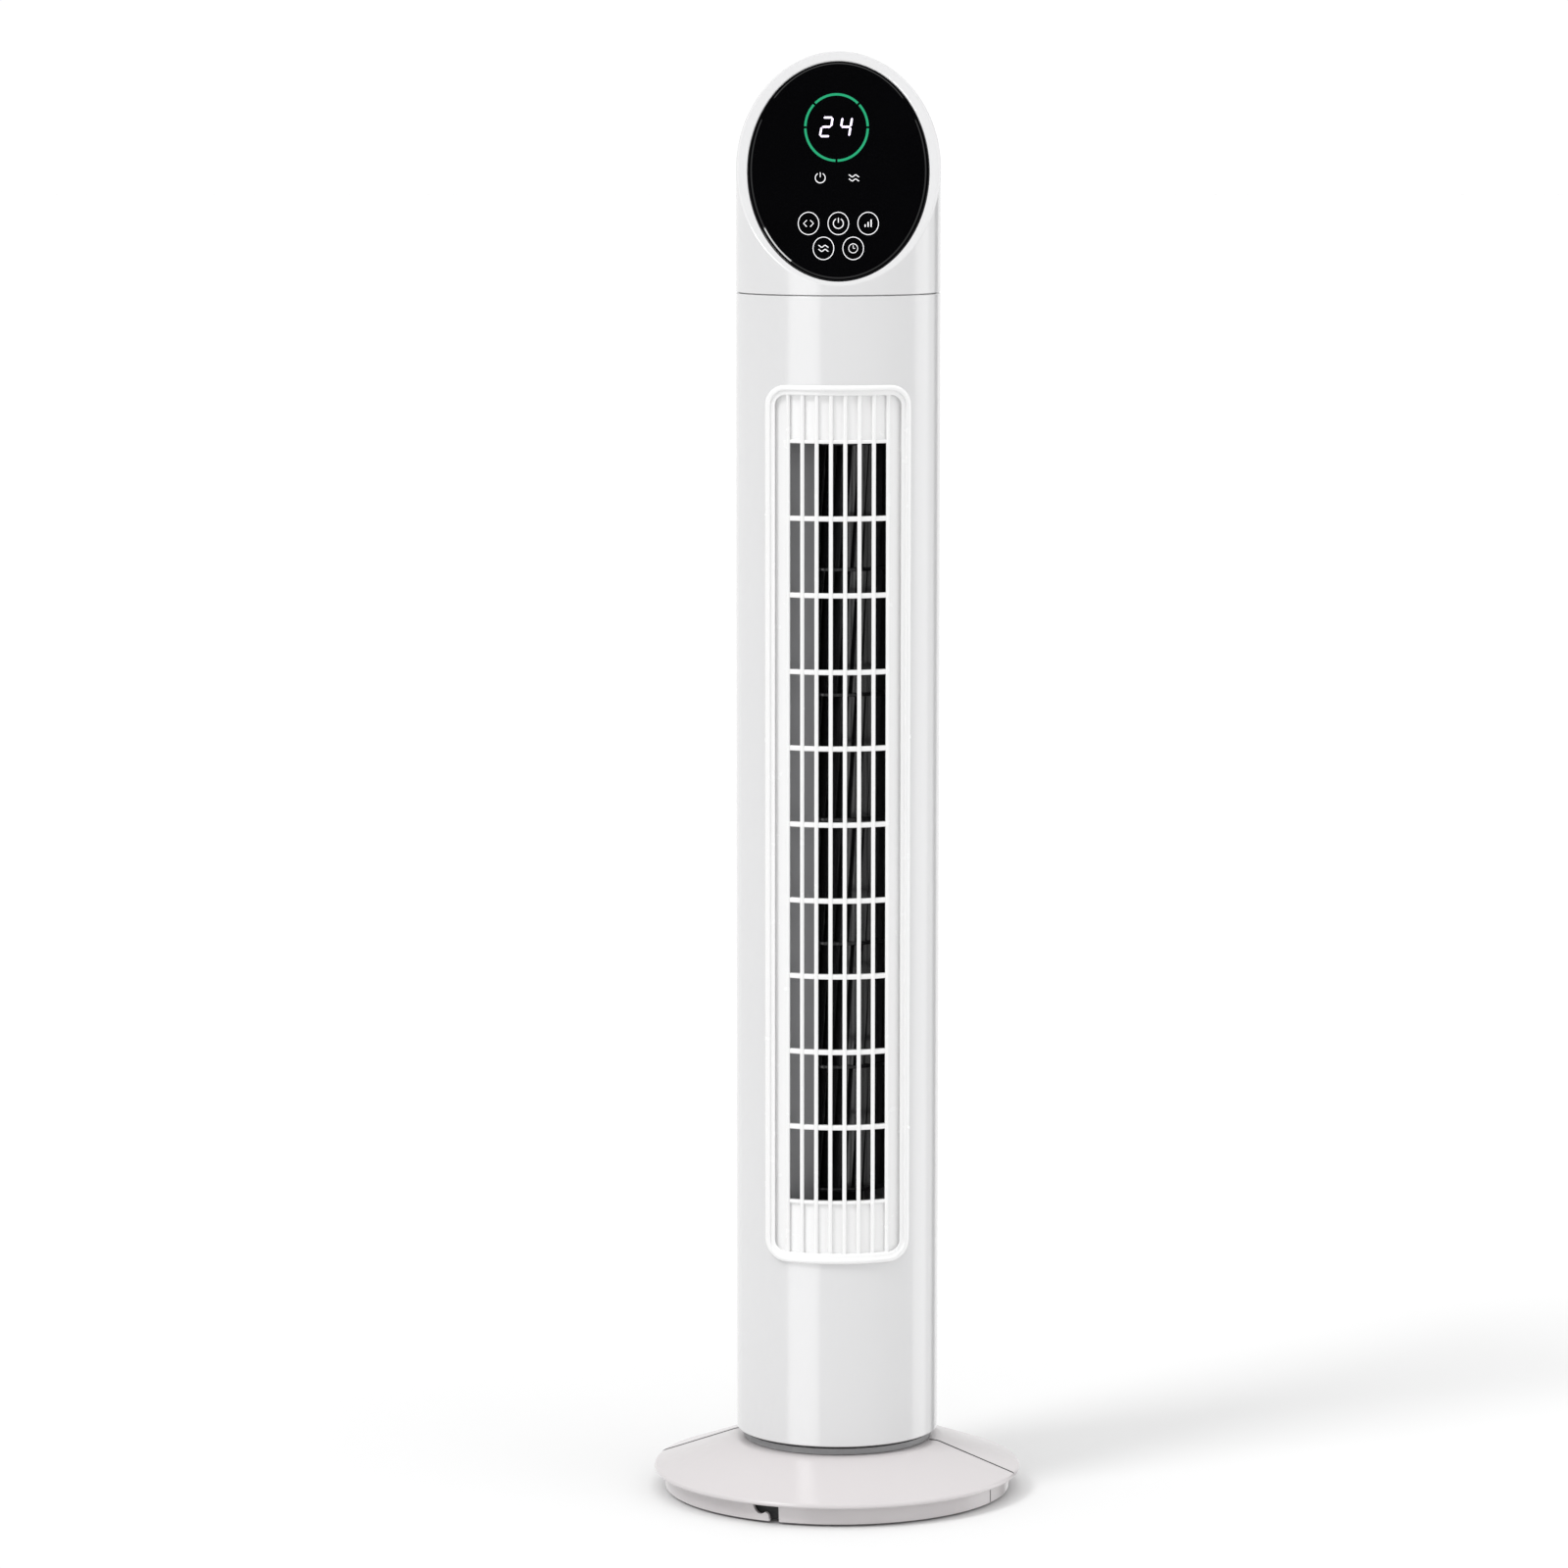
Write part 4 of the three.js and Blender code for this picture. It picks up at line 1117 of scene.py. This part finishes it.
def build_impeller():
    """Rows of blades between open discs, closed end discs, and the two tubes that hold the wheel."""
    shape = Shape()
    pitch = (FAN_TOP - FAN_BOTTOM - DISC_THICKNESS) / FAN_SEGMENTS
    for segment in range(FAN_SEGMENTS):
        bottom = FAN_BOTTOM + segment * pitch + DISC_THICKNESS / 2
        for blade in range(BLADES):
            bearing = 360 / BLADES * (blade + segment / FAN_SEGMENTS)
            shape.add(blade_shape(bearing, bottom, bottom + pitch))
    end_disc_hole, open_disc_hole = 4, BLADE_INNER - 1.5
    for i in range(FAN_SEGMENTS + 1):
        inner = end_disc_hole if i in (0, FAN_SEGMENTS) else open_disc_hole
        shape.add(impeller_disc(FAN_BOTTOM + i * pitch, inner))
    shape.add(tube(13.4, 16.5, COLLAR_BOTTOM, FAN_BOTTOM + 1, steps=40, y=FAN_Y))
    shape.add(tube(3.4, 7, FAN_TOP - 1, AXLE_BOSS_TOP, steps=32, y=FAN_Y))
    impeller = object_of("impeller_wheel", shape)
    finish_piece(impeller, "black_plastic", "impeller", ["impeller"])


# Foot.

def foot_profile():
    """The half moulding's section: cone, rounded rim, skirt, and the hollow underneath."""
    hole, cone_radius, cone_top, plate = 14.5, 66, 34, 2.6
    rim_top, rim_bottom, skirt, skirt_bottom = 15.8, 12.8, 110, 1.5
    under = cone_top - plate
    return fillet([
        (hole, cone_top),
        (cone_radius, cone_top, 14),
        (FOOT_RIM - 0.6, rim_top - 0.1, 2),
        (FOOT_RIM - 0.2, rim_bottom + 1, 0.7),
        (FOOT_RIM - 1.4, rim_bottom, 0.7),
        (skirt, rim_bottom, 0.8),
        (skirt, skirt_bottom, 0.6),
        (skirt - WALL, skirt_bottom, 0.5),
        (skirt - WALL, rim_top, 2),
        (cone_radius, under, 10),
        (hole, under),
    ], steps=6)


def turned(shape, degrees):
    angle = math.radians(degrees)
    c, s = math.cos(angle), math.sin(angle)
    return shape.moved(lambda x, y, z: (x * c - y * s, x * s + y * c, z))


def turned_foot(shape, turn):
    return turned(shape, FOOT_TURN + turn)


def notch_shape():
    """The hooked notch for the cord, drawn as seen from the front."""
    width, top, bearing = 18.4, 12.7, -9
    left = -width / 2

    def curve(start, bend, end, steps=8):
        line = []
        for i in range(1, steps + 1):
            t = i / steps
            line.append(tuple((1 - t) ** 2 * a + 2 * t * (1 - t) * b + t * t * c
                              for a, b, c in zip(start, bend, end)))
        return line

    first = (left + 11.4, 0)
    outline = [(left + 11.4, -2), first]
    outline += curve(first, (left + 12.4, 7), (left + 8.7, 7.2))
    outline += curve(outline[-1], (left + 7, 5.6), (left + 5, 5.9))
    outline += curve(outline[-1], (left + 1.4, 6.6), (left, top))
    outline += [(left + 18, top), (left + width, 0), (left + width, -2)]
    return turned(extrude(outline, -115, -102, front_on), bearing)


JOINT_BEARING = 77


def upright_bar(inner, outer, half_width, low, high):
    """A bar that stands at the joint in the skirt."""
    angle = math.radians(JOINT_BEARING)
    corners = [(inner, -half_width), (outer, -half_width), (outer, half_width), (inner, half_width)]
    points = []
    for radius, offset in corners:
        x, y, _ = at(radius, JOINT_BEARING, 0)
        points.append((x + offset * math.cos(angle), y + offset * math.sin(angle)))
    return extrude(points, low, high)


def skirt_groove():
    """A fine upright joint line in the skirt."""
    return upright_bar(inner=109, outer=112, half_width=0.6, low=1, high=12.6)


FOOT_SIDES = (("front", 0), ("rear", 180))


def foot_stiffeners():
    """A ring under the cone and three posts under the rim."""
    shape = tube(52, 54, 20, 32, start=-89.5, end=89.5, steps=48)
    post_reach, post_radius, post_bottom, post_top = 97, 8.5, 2.5, 18.2
    for bearing in (-60, 0, 60):
        x, y, _ = at(post_reach, bearing, 0)
        shape.add(extrude(circle(post_radius, x, y, 24), post_bottom, post_top))
    return shape


def build_foot():
    half_seam = 0.17
    quarter = 90 - half_seam
    for side, turn in FOOT_SIDES:
        moulding = lathe(foot_profile(), -quarter, quarter, 96)
        half = object_of(f"foot_{side}_half", turned_foot(moulding, turn))
        soften(half, width=0.3, segments=2, angle=50)
        carve(half, turned_foot(notch_shape(), turn))
        carve(half, turned_foot(skirt_groove(), turn))
        join_shape(half, turned_foot(foot_stiffeners(), turn))
        finish_piece(half, "foot_white", "base", [f"base_{side}_half"])


def painted_seam_shade_bead():
    """A dark rubber bead in the joint between the halves, over the cone: painted shade, standing for
    the shadow in the seam.
    """
    path = [(61, 34), (63.5, 34), (66, 33.8), (68.4, 33.15), (115.4, 16.15), (116.5, 15.4)]
    section = [(-0.7, -1.2), (-0.7, 0.1), (-0.35, 0.32), (0.35, 0.32), (0.7, 0.1), (0.7, -1.2)]
    shape = Shape()
    loops = [shape.loop([(radius, y, height + z) for y, z in section]) for radius, height in path]
    shape.skin(loops)
    return shape


def notch_flap():
    """A rubber flap that closes the cord notch from inside."""
    return tube(103, 104.4, 2.2, 15, start=-17, end=-3.5, steps=12)


def build_foot_joints():
    for side, turn in FOOT_SIDES:
        # Painted shade: the dark rubber bead in the joint between the halves, and the dark rubber bar
        # at the bottom of the skirt's groove, stand for the shadow in these joints.
        shape = turned_foot(painted_seam_shade_bead(), turn)
        bar = upright_bar(inner=108.6, outer=109.85, half_width=0.55, low=2, high=12.5)
        shape.add(turned_foot(bar, turn))
        shape.add(turned_foot(notch_flap(), turn))
        seals_and_shade = object_of(f"foot_seals_and_painted_shade_{side}", shape)
        finish_piece(seals_and_shade, "rubber", "base")


def join_shape(obj, shape):
    """Adds a separate closed shape to an object's mesh."""
    extra = object_of("extra", shape)
    work = bmesh.new()
    work.from_mesh(obj.data)
    work.from_mesh(extra.data)
    work.to_mesh(obj.data)
    work.free()
    bpy.data.objects.remove(extra)


def build_foot_pads():
    for i in range(1, 7):
        node = f"foot_pad_{i}"
        low, high = box_mm(node)
        middle = (low + high) / 2
        section = fillet([(0, 0), (7, 0, 0.7), (7, high.z, 0.4), (0, high.z)])
        pad = lathe(section, steps=40).moved(lambda x, y, z: (x + middle.x, y + middle.y, z))
        obj = object_of(f"rubber_pad_{i}", pad)
        finish_piece(obj, "rubber", "base", [node])


# Studio: a pale floor, soft light and dark cards for the reflections.

def flat_material(name, color, roughness=0.9):
    material = bpy.data.materials.new(name)
    material.use_nodes = True
    shader = material.node_tree.nodes["Principled BSDF"]
    shader.inputs["Base Color"].default_value = (*color, 1)
    shader.inputs["Roughness"].default_value = roughness
    shader.inputs["Specular IOR Level"].default_value = 0
    return material


def flat_sheet(name, width, depth, material):
    x, y = width / 2, depth / 2
    mesh = bpy.data.meshes.new(name)
    mesh.from_pydata([(-x, -y, 0), (x, -y, 0), (x, y, 0), (-x, y, 0)], [], [(0, 1, 2, 3)])
    mesh.materials.append(material)
    return place_in_scene(name, mesh)


def build_floor():
    size = 80
    pale = (0.725, 0.725, 0.725)
    floor = flat_sheet("floor", size, size, flat_material("floor_white", pale))
    floor.visible_glossy = False


def glow_material(name, radiance, edge):
    """Light that is full in the middle of the width and fades to the edges."""
    material = bpy.data.materials.new(name)
    material.use_nodes = True
    material.cycles.emission_sampling = "NONE"
    nodes = material.node_tree.nodes
    links = material.node_tree.links
    nodes.clear()
    place = nodes.new("ShaderNodeTexCoord")
    fade = nodes.new("ShaderNodeValToRGB")
    fade.color_ramp.interpolation = "EASE"
    stops = fade.color_ramp.elements
    dim = edge / radiance
    for stop in stops:
        stop.color = (dim, dim, dim, 1)
    for position in (0.34, 0.66):
        stops.new(position).color = (1, 1, 1, 1)
    glow = nodes.new("ShaderNodeEmission")
    glow.inputs["Strength"].default_value = radiance
    output = nodes.new("ShaderNodeOutputMaterial")
    links.new(place.outputs["Generated"], fade.inputs["Fac"])
    links.new(fade.outputs["Color"], glow.inputs["Color"])
    links.new(glow.outputs["Emission"], output.inputs["Surface"])
    return material


def build_card(name, centre, size, aim, material):
    """A card that only reflections see."""
    card = flat_sheet(name, *size, material)
    card.location = centre
    card.rotation_mode = "QUATERNION"
    card.rotation_quaternion = (Vector(aim) - Vector(centre)).to_track_quat("Z", "Y")
    card.visible_camera = False
    card.visible_diffuse = False
    card.visible_shadow = False
    card.visible_transmission = False


def polar_place(bearing, distance, height):
    angle = math.radians(bearing)
    return Vector((distance * math.sin(angle), -distance * math.cos(angle), height))


CARD_MIDDLE = 0.4
CARD_HEIGHT = 4.2


def build_strip(name, bearing, distance, width, radiance, edge=1.0):
    """A tall soft box, seen in the gloss of the column down to its foot."""
    build_card(name, polar_place(bearing, distance, CARD_MIDDLE), (width, CARD_HEIGHT),
               (0, 0, CARD_MIDDLE), glow_material(name, radiance, edge))


def build_sun(name, strength, bearing, height, spread, in_gloss=True):
    """Light from a far lamp. height is its angle above the floor, and spread its width, in degrees."""
    light = bpy.data.lights.new(name, "SUN")
    light.energy = strength
    light.angle = math.radians(spread)
    sun = place_in_scene(name, light)
    rise = math.radians(height)
    towards = polar_place(bearing, math.cos(rise), math.sin(rise))
    sun.rotation_mode = "QUATERNION"
    sun.rotation_quaternion = towards.to_track_quat("Z", "Y")
    sun.visible_glossy = in_gloss


def build_world():
    """Soft light from all round, a little stronger near the floor than above."""
    world = bpy.data.worlds.new("studio")
    bpy.context.scene.world = world
    world.use_nodes = True
    nodes = world.node_tree.nodes
    links = world.node_tree.links
    place = nodes.new("ShaderNodeTexCoord")
    split = nodes.new("ShaderNodeSeparateXYZ")
    links.new(place.outputs["Generated"], split.inputs["Vector"])
    fade = nodes.new("ShaderNodeMapRange")
    levels = {"From Min": 0.03, "From Max": 0.15, "To Min": 1.03, "To Max": 0.82}
    for name, level in levels.items():
        fade.inputs[name].default_value = level
    links.new(split.outputs["Z"], fade.inputs["Value"])
    links.new(fade.outputs["Result"], nodes["Background"].inputs["Strength"])
    nodes["Background"].inputs["Color"].default_value = (1, 1, 1, 1)


def build_camera():
    data = bpy.data.cameras.new("camera")
    data.lens = 136.4
    data.sensor_width = 36
    camera = place_in_scene("camera", data)
    distance, height, aside, tilt_down = 3.733, 0.902, 0.034, 6.85
    camera.location = (0, -distance, height)
    camera.rotation_euler = (math.radians(90 - tilt_down), 0, math.atan2(aside, distance))
    data.clip_end = 200
    bpy.context.scene.camera = camera


finish_cad_nodes()
build_column_front()
build_column_rear()
build_case_screws()
build_base_screws()
build_grille()
build_head()
build_lens()
build_display()
build_scroll_wall()
build_tongue_wall()
build_impeller()
build_foot()
build_foot_joints()
build_foot_pads()

build_floor()
black = flat_material("black_card", (0.004, 0.004, 0.004))
beside = polar_place(144, 2.2, CARD_MIDDLE)
build_card("dark_card_right", beside, (0.5, CARD_HEIGHT), (0, 0, CARD_MIDDLE), black)
build_card("dark_card_top", (0, -0.3, 2.6), (1.8, 1.8), (0, 0, 0.84), black)
build_strip("soft_box_left", bearing=-39, distance=2.4, width=1.55, radiance=2.6)
build_strip("soft_box_right", bearing=109, distance=2.2, width=1.0, radiance=2.0)
build_sun("key", strength=1.1, bearing=-51, height=50, spread=16)
build_sun("right_fill", strength=0.46, bearing=66, height=18, spread=60, in_gloss=False)
build_sun("overhead", strength=0.9, bearing=0, height=80, spread=50, in_gloss=False)
build_world()
build_camera()
bpy.context.scene.view_settings.view_transform = "Standard"
